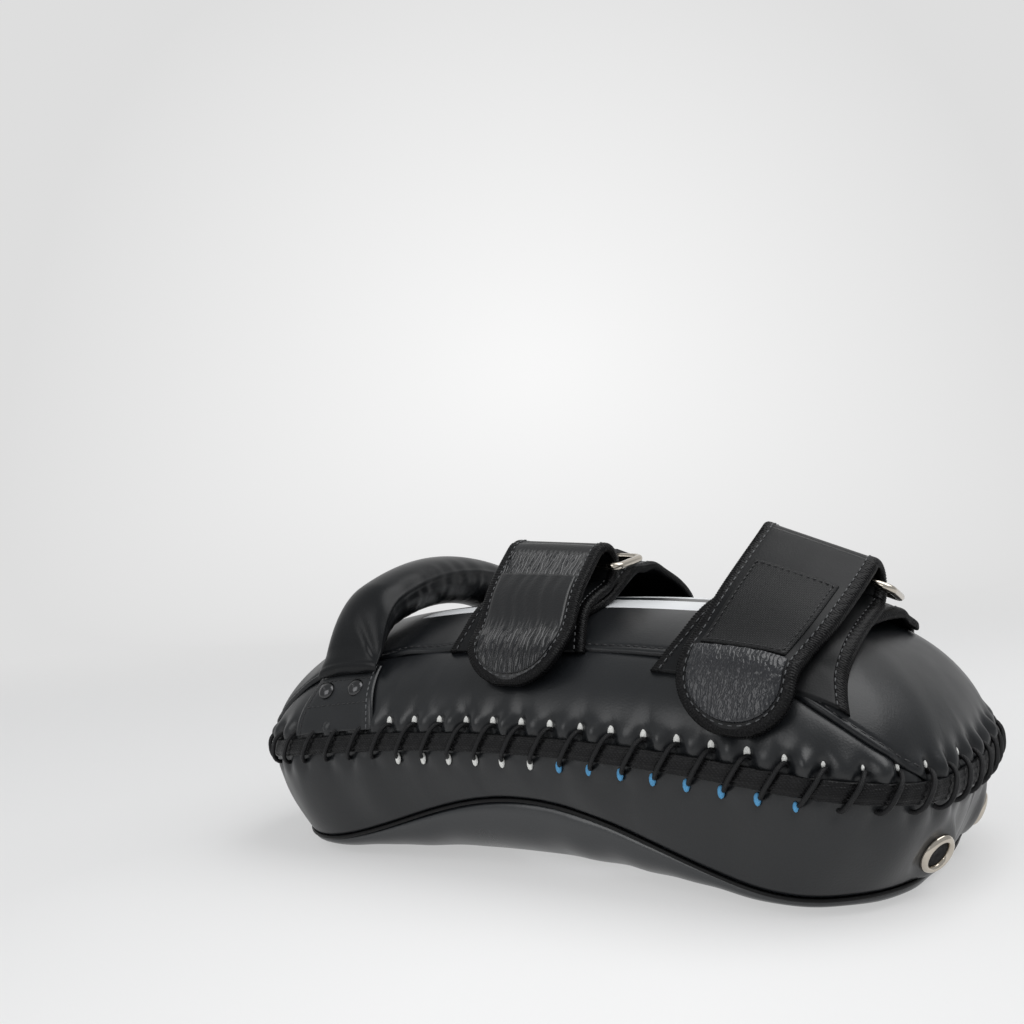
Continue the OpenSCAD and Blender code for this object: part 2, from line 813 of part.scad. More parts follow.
function fold_path(s) =
    measured([for (k = [0 : fold_steps]) fold_place(s, fold_lean - 90 + 180 * k / fold_steps)]);

// The far bar of a ring, and the tab that holds it, carried by the flap
tab_wall = 2;
tab_inner = ring_wire / 2 + clear;
tab_outer = tab_inner + tab_wall;
tab_tail = 22;
tab_drop = 8;
tab_low = tab_outer - tab_drop - tab_wall;
tab_seat = 1.1;

// Heights in the upright plane through a strap's middle, which cuts its tilted ring
function ring_way(s) = [cos(ring_slope[s]), sin(ring_slope[s]) / cos(strap_tilt[s])];
function far_bar(s) = fold_centre(s) + ring_span * ring_way(s);
function under_tab(s, along, down) =
    far_bar(s) + along * ring_way(s) - [0, (down + strap_thickness / 2 + tab_seat) / cos(strap_tilt[s])];

function flap_path(s) =
    let (x = strap_x[s], c = fold_centre(s), slant = strap_slant[s])
    measured(curve([
        strap_stop(s, flap_angle, strap_rest + flap_rise, start_lift),
        lifted([c[0], c[1] - fold_middle - strap_thickness - flap_pass[s]], pass_lift, slant),
        lifted(under_tab(s, 0, tab_outer), 1),
        lifted(under_tab(s, tab_tail / 2, (tab_outer - tab_low) / 2), 1),
        lifted(under_tab(s, tab_tail, -tab_low), 1),
        lifted(over_back(x, flap_far_angle, flap_far_rise), flap_lift, slant),
        lifted(over_back(x, flap_end_angle, strap_rest), 0, slant)
    ], 5));

// Half width of a strap or flap along its run, with its flare at the sewn end
flare_power = 1.6;
function flared(s, run, whole, from_start) =
    let (t = from_start ? run / whole : 1 - run / whole)
    strap_width[s] / 2
        + (from_start ? strap_flare[s] : flap_flare) / 2 * pow(1 - max(0, min(1, t)), flare_power);

// One cross-section of a strip between two steps along the pad
function strip_ring(s, path, run, left, right, low, high, parts = cross_parts) = concat(
    [for (k = [0 : parts]) strap_place(s, path, mix(left, right, k / parts), run, high)],
    [for (k = [parts : -1 : 0]) strap_place(s, path, mix(left, right, k / parts), run, low)]
);

strip_steps = 12;
cross_parts = 4;

// A strip of even width on part of a path
module patch(s, path, half, from, to, low, high) {
    steps = 6;
    swept([for (i = [0 : steps]) strip_ring(s, path, mix(from, to, i / steps), -half, half, low, high)]);
}

module flared_strip(s, path, from_start) {
    whole = run_of(path);
    swept([
        for (i = [0 : strip_steps])
            let (
                run = whole * i / strip_steps,
                half = flared(s, run, whole, from_start) - binding_width - sewn_gap
            )
            strip_ring(s, path, run, -half, half, -strap_thickness / 2, strap_thickness / 2)
    ]);
}

module flared_binding(s, path, from_start) {
    whole = run_of(path);
    for (side = [-1, 1])
        swept([
            for (i = [0 : strip_steps])
                let (
                    run = whole * i / strip_steps,
                    outer = flared(s, run, whole, from_start),
                    inner = outer - binding_width,
                    left = side < 0 ? -outer : inner
                )
                strip_ring(s, path, run, left, left + binding_width,
                    -binding_thickness / 2, binding_thickness / 2, 1)
        ]);
}

module strap_sewn(s) { color("#171717") flared_strip(s, strap_path(s), true); }
module strap_sewn_binding(s) { color("#0f0f0f") flared_binding(s, strap_path(s), true); }
module strap_flap(s) { color("#181818") flared_strip(s, flap_path(s), false); }
module strap_flap_binding(s) { color("#0f0f0f") flared_binding(s, flap_path(s), false); }

// Room between the fold and the straps it joins
fold_gap = 0.8;

module strap_fold(s) {
    path = fold_path(s);
    half = strap_width[s] / 2;
    color("#1a1a1a")
        patch(s, path, half, fold_gap, run_of(path) - fold_gap, -strap_thickness / 2, strap_thickness / 2);
}

// The tongue has a rounded tip; its body lies inside the binding
tip_share = 0.46;
function tip_depth(s) = tip_share * strap_width[s];

module strap_tongue(s) {
    path = tongue_path(s);
    half = strap_width[s] / 2 - binding_width - sewn_gap;
    edge = binding_width + sewn_gap;
    depth = tip_depth(s) - edge;
    low = -strap_thickness / 2;
    high = strap_thickness / 2;
    turns = [12, 30, 48, 66, 80];
    straight = tip_depth(s);
    color("#171717")
        swept(concat(
            [for (a = turns)
                let (run = edge + depth * (1 - cos(a)), side = half * sin(a))
                strip_ring(s, path, run, -side, side, low, high)],
            [for (i = [0 : strip_steps])
                strip_ring(s, path, mix(straight, run_of(path), i / strip_steps), -half, half, low, high)]
        ));
}

module strap_tongue_binding(s) {
    path = tongue_path(s);
    outer = strap_width[s] / 2;
    depth = tip_depth(s);
    whole = run_of(path);
    // The edge of the tongue from one end of the fold round the tip to the other: [step, run]
    function edge(half, d, shift) = concat(
        [for (i = [strip_steps : -1 : 1]) [-half, mix(depth, whole, i / strip_steps)]],
        [for (a = [90 : -15 : -90]) [-half * sin(a), shift + d * (1 - cos(a))]],
        [for (i = [1 : strip_steps]) [half, mix(depth, whole, i / strip_steps)]]
    );
    out = edge(outer, depth, 0);
    in = edge(outer - binding_width, depth - binding_width, binding_width);
    low = -binding_thickness / 2;
    high = binding_thickness / 2;
    color("#0f0f0f")
        swept([
            for (i = [0 : len(out) - 1])
                [
                    strap_place(s, path, out[i][0], out[i][1], low),
                    strap_place(s, path, out[i][0], out[i][1], high),
                    strap_place(s, path, in[i][0], in[i][1], high),
                    strap_place(s, path, in[i][0], in[i][1], low)
                ]
        ]);
}

// The leather facing covers the tip end of the tongue, inside the binding
facing_share = [0.71, 0.32];
facing_room = 0.5;
facing_edge = binding_width + 1;
facing_least = 6;
patch_gap = 2;

function facing_end(s) = max(run_of(tongue_path(s)) * facing_share[s], tip_depth(s) + facing_least);

module strap_tongue_facing(s) {
    path = tongue_path(s);
    half = strap_width[s] / 2 - facing_edge;
    depth = tip_depth(s) - facing_edge;
    low = strap_thickness / 2 + facing_room;
    high = low + facing_thickness;
    steps = 4;
    turns = [14, 34, 54, 74];
    color("#222222")
        swept(concat(
            [for (a = turns)
                let (run = facing_edge + depth * (1 - cos(a)), side = half * sin(a))
                strip_ring(s, path, run, -side, side, low, high)],
            [for (i = [0 : steps])
                strip_ring(s, path, mix(tip_depth(s), facing_end(s), i / steps), -half, half, low, high)]
        ));
}

module forearm_label() {
    path = tongue_path(1);
    start = facing_end(1) + patch_gap;
    low = strap_thickness / 2 + facing_room;
    color("#0a0a0a")
        patch(1, path, label_width / 2, start, start + label_length, low, low + facing_thickness);
}

// Hook and loop patches face each other between the tongue and the sewn strap
patch_edge = binding_width + 3;
loop_start = 3;
loop_share = 0.55;
hook_length = 26;

module strap_loop_patch(s) {
    path = strap_path(s);
    low = strap_thickness / 2 + clear;
    color("#262626")
        patch(
            s, path, strap_width[s] / 2 - patch_edge,
            loop_start, run_of(path) * loop_share, low, low + patch_thickness
        );
}

module strap_hook_patch(s) {
    path = tongue_path(s);
    high = -strap_thickness / 2 - clear;
    start = tip_depth(s) + patch_gap;
    color("#2c2c2c")
        patch(
            s, path, strap_width[s] / 2 - patch_edge,
            start, start + hook_length, high - patch_thickness, high
        );
}

// A ring of bent wire: the near bar lies in the strap's fold, the far bar in the flap's tab
ring_side_room = 6;
ring_bend = 4;
tab_side = 8.5;

module ring_frame(s) {
    c = fold_centre(s);
    translate([strap_x[s], c[0], c[1]])
        rotate([0, strap_tilt[s], 0])
            rotate([ring_slope[s], 0, 0]) children();
}

module strap_ring(s) {
    half = strap_width[s] / 2 + ring_side_room;
    r = ring_wire / 2;
    bend = ring_bend;
    color("silver")
        ring_frame(s) {
            for (y = [0, ring_span])
                translate([-half + bend, y, 0]) rotate([0, 90, 0]) cylinder(r = r, h = 2 * (half - bend));
            for (side = [-1, 1]) {
                translate([side * half, bend, 0])
                    rotate([-90, 0, 0]) cylinder(r = r, h = ring_span - 2 * bend);
                translate([side * (half - bend), bend, 0])
                    rotate([0, 0, side < 0 ? 180 : 270])
                        rotate_extrude(angle = 90) translate([bend, 0]) circle(r = r);
                translate([side * (half - bend), ring_span - bend, 0])
                    rotate([0, 0, side < 0 ? 90 : 0])
                        rotate_extrude(angle = 90) translate([bend, 0]) circle(r = r);
            }
        }
}

// The tab is a folded strip round the far bar, sewn down on the flap
module strap_ring_tab(s) {
    half = strap_width[s] / 2 - tab_side;
    profile = [[0, tab_outer], [tab_tail, tab_outer - tab_drop], [tab_tail, tab_low], [0, -tab_outer]];
    color("#131313")
        ring_frame(s) translate([-half, ring_span, 0]) rotate([90, 0, 90])
            difference() {
                union() {
                    cylinder(r = tab_outer, h = 2 * half);
                    linear_extrude(height = 2 * half) polygon(profile);
                }
                translate([0, 0, -over]) cylinder(r = tab_inner, h = 2 * half + 2 * over);
            }
}

module wrist_strap() { strap_sewn(0); }
module wrist_strap_binding() { strap_sewn_binding(0); }
module wrist_loop_patch() { strap_loop_patch(0); }
module wrist_fold() { strap_fold(0); }
module wrist_tongue() { strap_tongue(0); }
module wrist_tongue_binding() { strap_tongue_binding(0); }
module wrist_tongue_facing() { strap_tongue_facing(0); }
module wrist_hook_patch() { strap_hook_patch(0); }
module wrist_flap() { strap_flap(0); }
module wrist_flap_binding() { strap_flap_binding(0); }
module wrist_ring_tab() { strap_ring_tab(0); }
module wrist_ring() { strap_ring(0); }
module forearm_strap() { strap_sewn(1); }
module forearm_strap_binding() { strap_sewn_binding(1); }
module forearm_loop_patch() { strap_loop_patch(1); }
module forearm_fold() { strap_fold(1); }
module forearm_tongue() { strap_tongue(1); }
module forearm_tongue_binding() { strap_tongue_binding(1); }
module forearm_tongue_facing() { strap_tongue_facing(1); }
module forearm_hook_patch() { strap_hook_patch(1); }
module forearm_flap() { strap_flap(1); }
module forearm_flap_binding() { strap_flap_binding(1); }
module forearm_ring_tab() { strap_ring_tab(1); }
module forearm_ring() { strap_ring(1); }

strike_face_panel();
side_wall(stations / 2);  // side_wall_near
side_wall(0);  // side_wall_far
back_centre_panel();
back_side_panel(stations / 2);  // back_side_panel_near
back_side_panel(0);  // back_side_panel_far
strike_bead();
edge_tape();
edge_lacing();
strike_foam();
core_foam();
back_foam();
vent_eyelets();
vent_washers();
grip_tab(0);  // grip_tab_near
grip_tab(1);  // grip_tab_far
grip_necks();
grip_sleeve();
grip_core();
grip_rivets();
rivet_burrs();
wrist_strap();
wrist_strap_binding();
wrist_loop_patch();
wrist_fold();
wrist_tongue();
wrist_tongue_binding();
wrist_tongue_facing();
wrist_hook_patch();
wrist_flap();
wrist_flap_binding();
wrist_ring_tab();
wrist_ring();
forearm_strap();
forearm_strap_binding();
forearm_loop_patch();
forearm_fold();
forearm_tongue();
forearm_tongue_binding();
forearm_tongue_facing();
forearm_label();  // forearm_label_patch
forearm_hook_patch();
forearm_flap();
forearm_flap_binding();
forearm_ring_tab();
forearm_ring();
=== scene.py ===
import bpy
import numpy as np
from mathutils import Matrix


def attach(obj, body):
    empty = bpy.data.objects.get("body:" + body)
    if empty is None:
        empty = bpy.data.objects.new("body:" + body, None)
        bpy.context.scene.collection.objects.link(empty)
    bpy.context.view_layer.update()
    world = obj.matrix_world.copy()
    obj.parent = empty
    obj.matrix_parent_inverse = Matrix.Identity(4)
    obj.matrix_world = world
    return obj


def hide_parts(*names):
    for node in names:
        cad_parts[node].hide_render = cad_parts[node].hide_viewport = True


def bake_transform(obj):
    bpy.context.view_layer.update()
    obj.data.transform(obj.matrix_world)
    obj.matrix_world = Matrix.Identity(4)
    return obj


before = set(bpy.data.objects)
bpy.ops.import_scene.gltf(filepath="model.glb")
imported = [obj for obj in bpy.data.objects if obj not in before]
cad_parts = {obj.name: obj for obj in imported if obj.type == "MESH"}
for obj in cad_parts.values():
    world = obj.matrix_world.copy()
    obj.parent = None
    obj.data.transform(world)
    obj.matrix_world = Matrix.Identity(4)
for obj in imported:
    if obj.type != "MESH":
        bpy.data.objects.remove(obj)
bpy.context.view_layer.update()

# Camera: a short telephoto at the height of the straps, to the right of the pad's near side and
# a little rolled. The place and angles were fitted to points on the pad in a 1024 pixel frame.
CAMERA_PLACE = (0.3194, -0.5624, 0.1860)
CAMERA_YAW, CAMERA_PITCH, CAMERA_ROLL = np.radians((33.60, -0.37, -4.01))
FOCAL_PIXELS, FRAME_PIXELS, SENSOR_WIDTH = 1165.4, 1024, 36.0
UP = np.array((0, 0, 1.0))

scene = bpy.context.scene
scene.view_settings.view_transform = "Standard"


def set_up(item, right, up, back, place):
    """Puts a camera or a lamp into the scene at a place, turned to three axes."""
    axes = np.eye(4)
    axes[:3] = np.stack((right, up, back, place), axis=1)
    item.matrix_world = Matrix(axes.tolist())
    scene.collection.objects.link(item)


ahead = np.array((-np.sin(CAMERA_YAW), np.cos(CAMERA_YAW), 0.0))
across = np.array((np.cos(CAMERA_YAW), np.sin(CAMERA_YAW), 0.0))
look = ahead * np.cos(CAMERA_PITCH) + UP * np.sin(CAMERA_PITCH)
upright = np.cross(across, look)
camera_right = np.cos(CAMERA_ROLL) * across + np.sin(CAMERA_ROLL) * upright
camera_up = np.cos(CAMERA_ROLL) * upright - np.sin(CAMERA_ROLL) * across
camera_data = bpy.data.cameras.new("photo_camera")
camera_data.sensor_width = SENSOR_WIDTH
camera_data.lens = SENSOR_WIDTH * FOCAL_PIXELS / FRAME_PIXELS
camera_data.clip_start = 0.01
camera = bpy.data.objects.new("photo_camera", camera_data)
set_up(camera, camera_right, camera_up, -look, CAMERA_PLACE)
scene.camera = camera

# Studio: one sheet of pale paper, flat under the pad and swept up behind it, under a large soft
# box overhead, a smaller one in front and an even pale room. Its sizes are in metres.
PAPER_NEAR, PAPER_FAR, PAPER_SWEEP, PAPER_TOP, PAPER_HALF = -1.7, 1.2, 0.9, 3.2, 3.4
# The paper's own colour, then the colours of a painted glow at its pale middle and at its dimmer
# edges.
PAPER_FLOOR, GLOW_MIDDLE_COLOUR, GLOW_EDGE_COLOUR = "#f2f2f2", "#f9f9f9", "#dedede"
GLOW_NEAR, GLOW_REACH, GLOW_ASIDE, GLOW_HEIGHT = 0.05, 1.2, 0.03, 0.45
FRONT_GLOW, FRONT_GLOW_REACH = (0.08, -0.2, 0.0), 0.33
# The painted glow fades in with depth: a share of it under the pad, which lightens the pad's shadow
# there, and all of it further back.
SHADE_END, GLOW_FULL_FROM, GLOW_UNDER_PAD = 0.35, 1.2, 0.55
FLAT_STEPS, SWEEP_STEPS, SIDE_STEPS = 19, 25, 13
ROOM_COLOUR, ROOM_STRENGTH = "#f4f6f8", 0.5
MM = 0.001


def linear(hex_colour):
    """An sRGB hex colour as linear red, green, blue and alpha."""
    srgb = np.array([int(hex_colour[i:i + 2], 16) for i in (1, 3, 5)]) / 255
    rgb = np.where(srgb <= 0.04045, srgb / 12.92, ((srgb + 0.055) / 1.055) ** 2.4)
    return (*rgb, 1.0)


def feed(node, inputs):
    """Sets a node's sockets to values, or links them to other nodes' outputs."""
    for key, value in inputs.items():
        if isinstance(value, bpy.types.NodeSocket):
            node.id_data.links.new(value, node.inputs[key])
        else:
            node.inputs[key].default_value = value


def add_node(tree, kind, inputs=None, out=0, **settings):
    """Adds a shader node with its settings, feeds its sockets and gives one of its outputs."""
    node = tree.nodes.new("ShaderNode" + kind)
    for key, value in settings.items():
        setattr(node, key, value)
    feed(node, inputs or {})
    return node.outputs[out]


def start_material(name):
    """A new node material, with its tree and its shader."""
    material = bpy.data.materials.new(name)
    material.use_nodes = True
    return material, material.node_tree, material.node_tree.nodes["Principled BSDF"]


def grid_corners(rows, columns, around):
    """Corner numbers of the quads of a grid of points, closed along its rows where asked."""
    index = np.arange(rows * columns).reshape(rows, columns)
    if around:
        index = np.concatenate((index, index[:, :1]), axis=1)
    corners = (index[:-1, :-1], index[:-1, 1:], index[1:, 1:], index[1:, :-1])
    return np.stack(corners, axis=-1).reshape(-1, 4)


def make_piece(name, points, faces, material, closed=False):
    """A smooth mesh from points in mm and arrays of face corners. A closed one whose enclosed
    volume, the sum of the cones from the origin to its faces, is negative has its faces turned."""
    points = points.reshape(-1, 3) * MM
    if closed:
        cones = sum(
            np.einsum("ij,ij->", points[f[:, 0]], np.cross(points[f[:, k]], points[f[:, k + 1]]))
            for f in faces for k in range(1, f.shape[1] - 1))
        faces = [f[:, ::-1] for f in faces] if cones < 0 else faces
    sizes = np.concatenate([np.full(len(f), f.shape[1]) for f in faces])
    corners = np.concatenate([f.ravel() for f in faces])
    mesh = bpy.data.meshes.new(name)
    mesh.vertices.add(len(points))
    mesh.vertices.foreach_set("co", points.astype(np.float32).ravel())
    mesh.loops.add(len(corners))
    mesh.loops.foreach_set("vertex_index", corners.astype(np.int32))
    mesh.polygons.add(len(sizes))
    mesh.polygons.foreach_set("loop_start", (np.cumsum(sizes) - sizes).astype(np.int32))
    mesh.update(calc_edges=True)
    mesh.shade_smooth()
    mesh.materials.append(material)
    piece = bpy.data.objects.new(name, mesh)
    scene.collection.objects.link(piece)
    return piece


def unit(vectors):
    """Vectors drawn to a length of 1."""
    return vectors / np.maximum(np.linalg.norm(vectors, axis=-1, keepdims=True), 1e-9)


paper, tree, shader = start_material("matt_background_paper")
# Matt paper. Under the pad it takes the lamps' light, with a painted glow over it, seen by camera
# and mirror rays, that lightens the pad's shadow. Further back the painted glow takes over as a
# painted pool of light: palest behind and in front of the pad and dimmer towards the edges.
place = add_node(tree, "TexCoord", out="Object")
glow_middle = (PAPER_FAR + PAPER_SWEEP) * ahead + GLOW_ASIDE * across + GLOW_HEIGHT * UP
shares = []
for middle, reach in ((glow_middle, GLOW_REACH), (FRONT_GLOW, FRONT_GLOW_REACH)):
    off_middle = add_node(
        tree, "VectorMath", {0: place, 1: tuple(middle)}, "Value", operation="DISTANCE")
    shares.append(add_node(
        tree, "MapRange", {"Value": off_middle, "From Min": GLOW_NEAR, "From Max": reach}))
glow_falloff = add_node(tree, "Math", dict(enumerate(shares)), operation="MINIMUM")
tone = add_node(
    tree, "Mix", {0: glow_falloff, 6: linear(GLOW_MIDDLE_COLOUR), 7: linear(GLOW_EDGE_COLOUR)}, 2, data_type="RGBA")
depth = add_node(tree, "VectorMath", {0: place, 1: tuple(ahead)}, "Value", operation="DOT_PRODUCT")
behind = add_node(
    tree, "MapRange",
    {"Value": depth, "From Min": SHADE_END, "From Max": GLOW_FULL_FROM, "To Min": GLOW_UNDER_PAD},
    interpolation_type="SMOOTHSTEP")
ray = add_node(tree, "LightPath").node.outputs
mirrored = add_node(
    tree, "Math", {0: ray["Is Glossy Ray"], 1: ray["Is Transmission Ray"]}, operation="MAXIMUM")
seen = add_node(tree, "Math", {0: ray["Is Camera Ray"], 1: mirrored}, operation="MAXIMUM")
even = add_node(tree, "Math", {0: behind, 1: seen}, operation="MULTIPLY")
glow = add_node(tree, "Emission", {"Color": tone, "Strength": 1.0})
both = add_node(tree, "MixShader", {0: even, 1: shader.outputs[0], 2: glow})
feed(tree.nodes["Material Output"], {"Surface": both})
feed(shader, {"Base Color": linear(PAPER_FLOOR), "Roughness": 0.9, "Specular IOR Level": 0.1})

sweep = np.linspace(-np.pi / 2, 0, SWEEP_STEPS)
paper_depth = np.concatenate((
    np.linspace(PAPER_NEAR, PAPER_FAR, FLAT_STEPS + 1)[:-1],
    PAPER_FAR + PAPER_SWEEP * np.cos(sweep), [PAPER_FAR + PAPER_SWEEP]))
paper_height = np.concatenate((
    np.zeros(FLAT_STEPS), PAPER_SWEEP * (1 + np.sin(sweep)), [PAPER_TOP]))
paper_side = np.linspace(-PAPER_HALF, PAPER_HALF, SIDE_STEPS)
paper_grid = (
    paper_depth[:, None, None] * ahead + paper_side[:, None] * across
    + paper_height[:, None, None] * UP)
floor = make_piece(
    "studio_paper", paper_grid / MM, [grid_corners(*paper_grid.shape[:2], False)], paper)

world = bpy.data.worlds.new("pale_room")
world.use_nodes = True
room = {"Color": linear(ROOM_COLOUR), "Strength": ROOM_STRENGTH}
feed(world.node_tree.nodes["Background"], room)
scene.world = world

for name, place, target_place, size, power in (
        ("softbox_over", (0.60, 0.20, 1.25), (0.05, 0.0, 0.1), 1.2, 12.0),
        ("softbox_front", (-0.35, -1.55, 0.95), (0.0, 0.0, 0.08), 1.1, 7.5)):
    lamp = bpy.data.lights.new(name, "AREA")
    lamp.size, lamp.energy = size, power
    back = unit(np.subtract(place, target_place))
    side = unit(np.cross((0, 1, 0.01), back))
    set_up(bpy.data.objects.new(name, lamp), side, np.cross(back, side), back, place)

# Case leather: black synthetic leather, a woven backing with a calendered satin face. The back is
# a centre panel lapped over two lens-shaped side panels, drawn down to the edge by the lacing.
# Sizes from here on are in mm.
HALF_LENGTH, HALF_WIDTH, CORNER, END_BOW = 195.0, 97.5, 60.0, 2.5
EDGE_HEIGHT, EDGE_DROP = 70.5, 18.5
BACK_RISE, BACK_END_ROUND = 60.0, 75.0
BACK_SEAM_ANGLE, BACK_SEAM_REACH, BACK_SEAM_POWER = 44.0, 190.0, 5
LAPPED_FROM, LAPPED_OVER = 2.0, 12.0
RIDGE_ANGLE = np.radians(88.5)
LEATHER, SEAM_SOFTNESS = 2.0, 5.0
STITCHES = 64
COLUMNS = 12 * STITCHES
HALVES = (("far", 0), ("near", COLUMNS // 2))
END_RUN, CORNER_RUN = HALF_WIDTH - CORNER, CORNER * np.pi / 2
SIDE_RUN = HALF_LENGTH - END_BOW - CORNER
EDGE_RUN = 4 * (END_RUN + CORNER_RUN + SIDE_RUN)
PITCH = EDGE_RUN / STITCHES
# The lacing's holes: their height off the edge, and the share of a stitch by which they lie past
# the middle of the cord's outer run. The gathers they draw have that shift and a seed.
HOLE_RISE, HOLE_SHIFT = 8.4, 0.35
BACK_GATHERS, WALL_GATHERS = (HOLE_SHIFT, 11), (-HOLE_SHIFT, 47)
GATHERED_FROM, GATHERED_OVER = 120.0, 45.0
DIMPLE, DIMPLE_WIDTH, DIMPLE_LENGTH, DIMPLE_OFF_HOLE = 1.7, 2.6, 3.4, 1.2
PUFF, PUFF_RISE, PUFF_LENGTH = 2.2, 9.0, 5.0
FOLD, FINE_FOLD, FAINT_FOLD = 0.75, 0.2, 0.3
FOLD_FROM, FOLD_REACH, FOLD_SHORTEST, FAINT_REACH, FINE_SLANT = 7.0, 7.0, 4.0, 30.0, 21.0
LIVELY, LIVELY_AT_CORNER, CORNER_CALM, REACH_WANDER, CORNER_SHORTER = 0.3, 0.15, 0.6, 2.5, 2
GATHER_LEAN, LEAN_WANDER, FINE_WANDER, FINE_WAVES, FAINT_FROM = 0.10, 0.05, 0.3, 14, 0.3
LEATHER_CLOUD, LEATHER_SCUFF, LEATHER_RELIEF, INK = 38.0, 3.5, 0.25, "#e4e6e8"
BAR_MIDDLE, BAR_HALF_LENGTH, BAR_OFF, BAR_HALF_WIDTH = -15.0, 90.0, 16.0, 10.0


def outline(u, a, b, r):
    """A point of the case's outline at share u of the way round, from the middle of the elbow end
    by the far side: a bowed end, an arc of radius r and a straight side, mirrored in quarters."""
    run, quarter = np.modf(np.mod(u, 1) * 4)
    run = np.where(quarter % 2 == 1, 1 - run, run) * EDGE_RUN / 4
    end = run / END_RUN
    turn = np.clip((run - END_RUN) / CORNER_RUN, 0, 1) * np.pi / 2
    side = np.clip((run - END_RUN - CORNER_RUN) / SIDE_RUN, 0, 1)
    bow = END_BOW * b / HALF_WIDTH
    x = np.where(end < 1, a - bow * end ** 2, (a - bow - r + r * np.cos(turn)) * (1 - side))
    y = np.where(end < 1, (b - r) * end, b - r + r * np.sin(turn))
    x = np.where((quarter == 1) | (quarter == 2), -x, x)
    return x, np.where(quarter >= 2, -y, y)


def edge_level(x):
    """Height of the laced edge: a parabola that drops to both ends."""
    return EDGE_HEIGHT - EDGE_DROP * (x / HALF_LENGTH) ** 2


def points_of(x, y, z):
    """An array of points from their three coordinates."""
    return np.stack(np.broadcast_arrays(x, y, z), axis=-1)


def back_surface(u, angle):
    """The padded back: outlines that shrink with the cosine of the angle and rise with its sine."""
    c = np.cos(angle)
    x, y = outline(u, HALF_LENGTH - BACK_END_ROUND * (1 - c), HALF_WIDTH * c, CORNER * c)
    return points_of(x, y, edge_level(x) + BACK_RISE * np.sin(angle))


def soften(grid):
    """Rounds the outline's joints: a Gaussian along the closed rows, by Fourier."""
    waves = np.fft.rfftfreq(grid.shape[1], d=EDGE_RUN / grid.shape[1])
    fade = np.exp(-2 * (np.pi * waves * SEAM_SOFTNESS) ** 2)
    return np.fft.irfft(np.fft.rfft(grid, axis=1) * fade[:, None], n=grid.shape[1], axis=1)


def steps_round(points, axis):
    """Steps between the neighbours of each point along an axis that closes on itself."""
    return np.roll(points, -1, axis) - np.roll(points, 1, axis)


def normals_of(grid, around=False):
    """Unit normals of a grid: the cross product of its steps along the rows and across them."""
    along = steps_round(grid, 1) if around else np.gradient(grid, axis=1)
    return unit(np.cross(along, np.gradient(grid, axis=0)))


def raised(grid, stand):
    """A grid closed along its rows, moved out along its normals."""
    return grid + normals_of(grid, True) * stand[..., None]


def run_down(points):
    """Distance of each point from the first, along a line or down each column of a grid."""
    steps = np.linalg.norm(np.diff(points, axis=0), axis=-1)
    return np.concatenate((0 * steps[:1], np.cumsum(steps, axis=0)))


def ease(t):
    """Smoothstep from 0 to 1."""
    t = np.clip(t, 0, 1)
    return t * t * (3 - 2 * t)


def bell(t):
    """A Gaussian bump, 1 at 0."""
    return np.exp(-t ** 2)


def wander(u, seed, waves=9):
    """A smooth random value round the edge: a sum of sines of whole periods with seeded phases."""
    draw = np.random.default_rng(seed)
    periods = 3 + np.arange(waves) * 4 + draw.integers(0, 4, waves)
    phase = draw.uniform(0, 2 * np.pi, waves)
    sines = np.sin(2 * np.pi * periods * np.asarray(u)[..., None] + phase)
    return sines.sum(-1) / np.sqrt(waves / 2)


def corner_share(u):
    """1 at the four corners of the edge, where the leather is gathered, and 0 along the sides."""
    x = outline(u, HALF_LENGTH, HALF_WIDTH, CORNER)[0]
    return ease((np.abs(x) - GATHERED_FROM) / GATHERED_OVER)


def pucker(u, d, shift, seed):
    """How far the leather stands out at a distance d from the edge: a dimple at each lacing hole, a
    puff between holes beside the tape, folds that run up from the holes and die away, shortest at
    the corners, and a few faint long ones. Seeded shares vary each of them round the edge."""
    stitch = u * STITCHES - shift
    off = (np.mod(stitch + 0.5, 1) - 0.5) * PITCH
    gathered = corner_share(u)
    lively = 1 + LIVELY * wander(u, seed) + LIVELY_AT_CORNER * gathered
    reach = REACH_WANDER * wander(u, seed + 3) * (1 - CORNER_CALM * gathered)
    reach = FOLD_REACH + reach - CORNER_SHORTER * gathered
    fall = np.exp(-np.maximum(d - FOLD_FROM, 0) / np.maximum(reach, FOLD_SHORTEST))
    lean = GATHER_LEAN + LEAN_WANDER * wander(u, seed + 1)
    lean = lean * np.maximum(d - HOLE_RISE, 0) / PITCH
    fold = -np.cos(2 * np.pi * (stitch - lean))
    fine = 2 * stitch + FINE_WANDER * wander(u, seed + 2, FINE_WAVES) + d / FINE_SLANT
    fine = np.cos(2 * np.pi * fine)
    faint = np.exp(-d / FAINT_REACH) * ease(wander(u, seed + 5, FINE_WAVES) - FAINT_FROM)
    faint = faint * (1 - gathered)
    dimple = bell(off / DIMPLE_WIDTH) * bell((d - HOLE_RISE - DIMPLE_OFF_HOLE) / DIMPLE_LENGTH)
    puff = 0.5 - 0.5 * np.cos(2 * np.pi * stitch)
    puff = PUFF * puff * bell((d - PUFF_RISE) / (PUFF_LENGTH + gathered))
    gathers = puff + (FOLD * fold + FINE_FOLD * fine) * fall
    return lively * gathers + FAINT_FOLD * fold * faint - DIMPLE * dimple


def seam_angle(u):
    """Angle of the back seams: level along the middle, running into the edge near the ends."""
    x = outline(u, HALF_LENGTH, HALF_WIDTH, CORNER)[0]
    way = np.minimum(1, np.abs(x) / BACK_SEAM_REACH)
    return np.radians(BACK_SEAM_ANGLE * (1 - way ** BACK_SEAM_POWER))


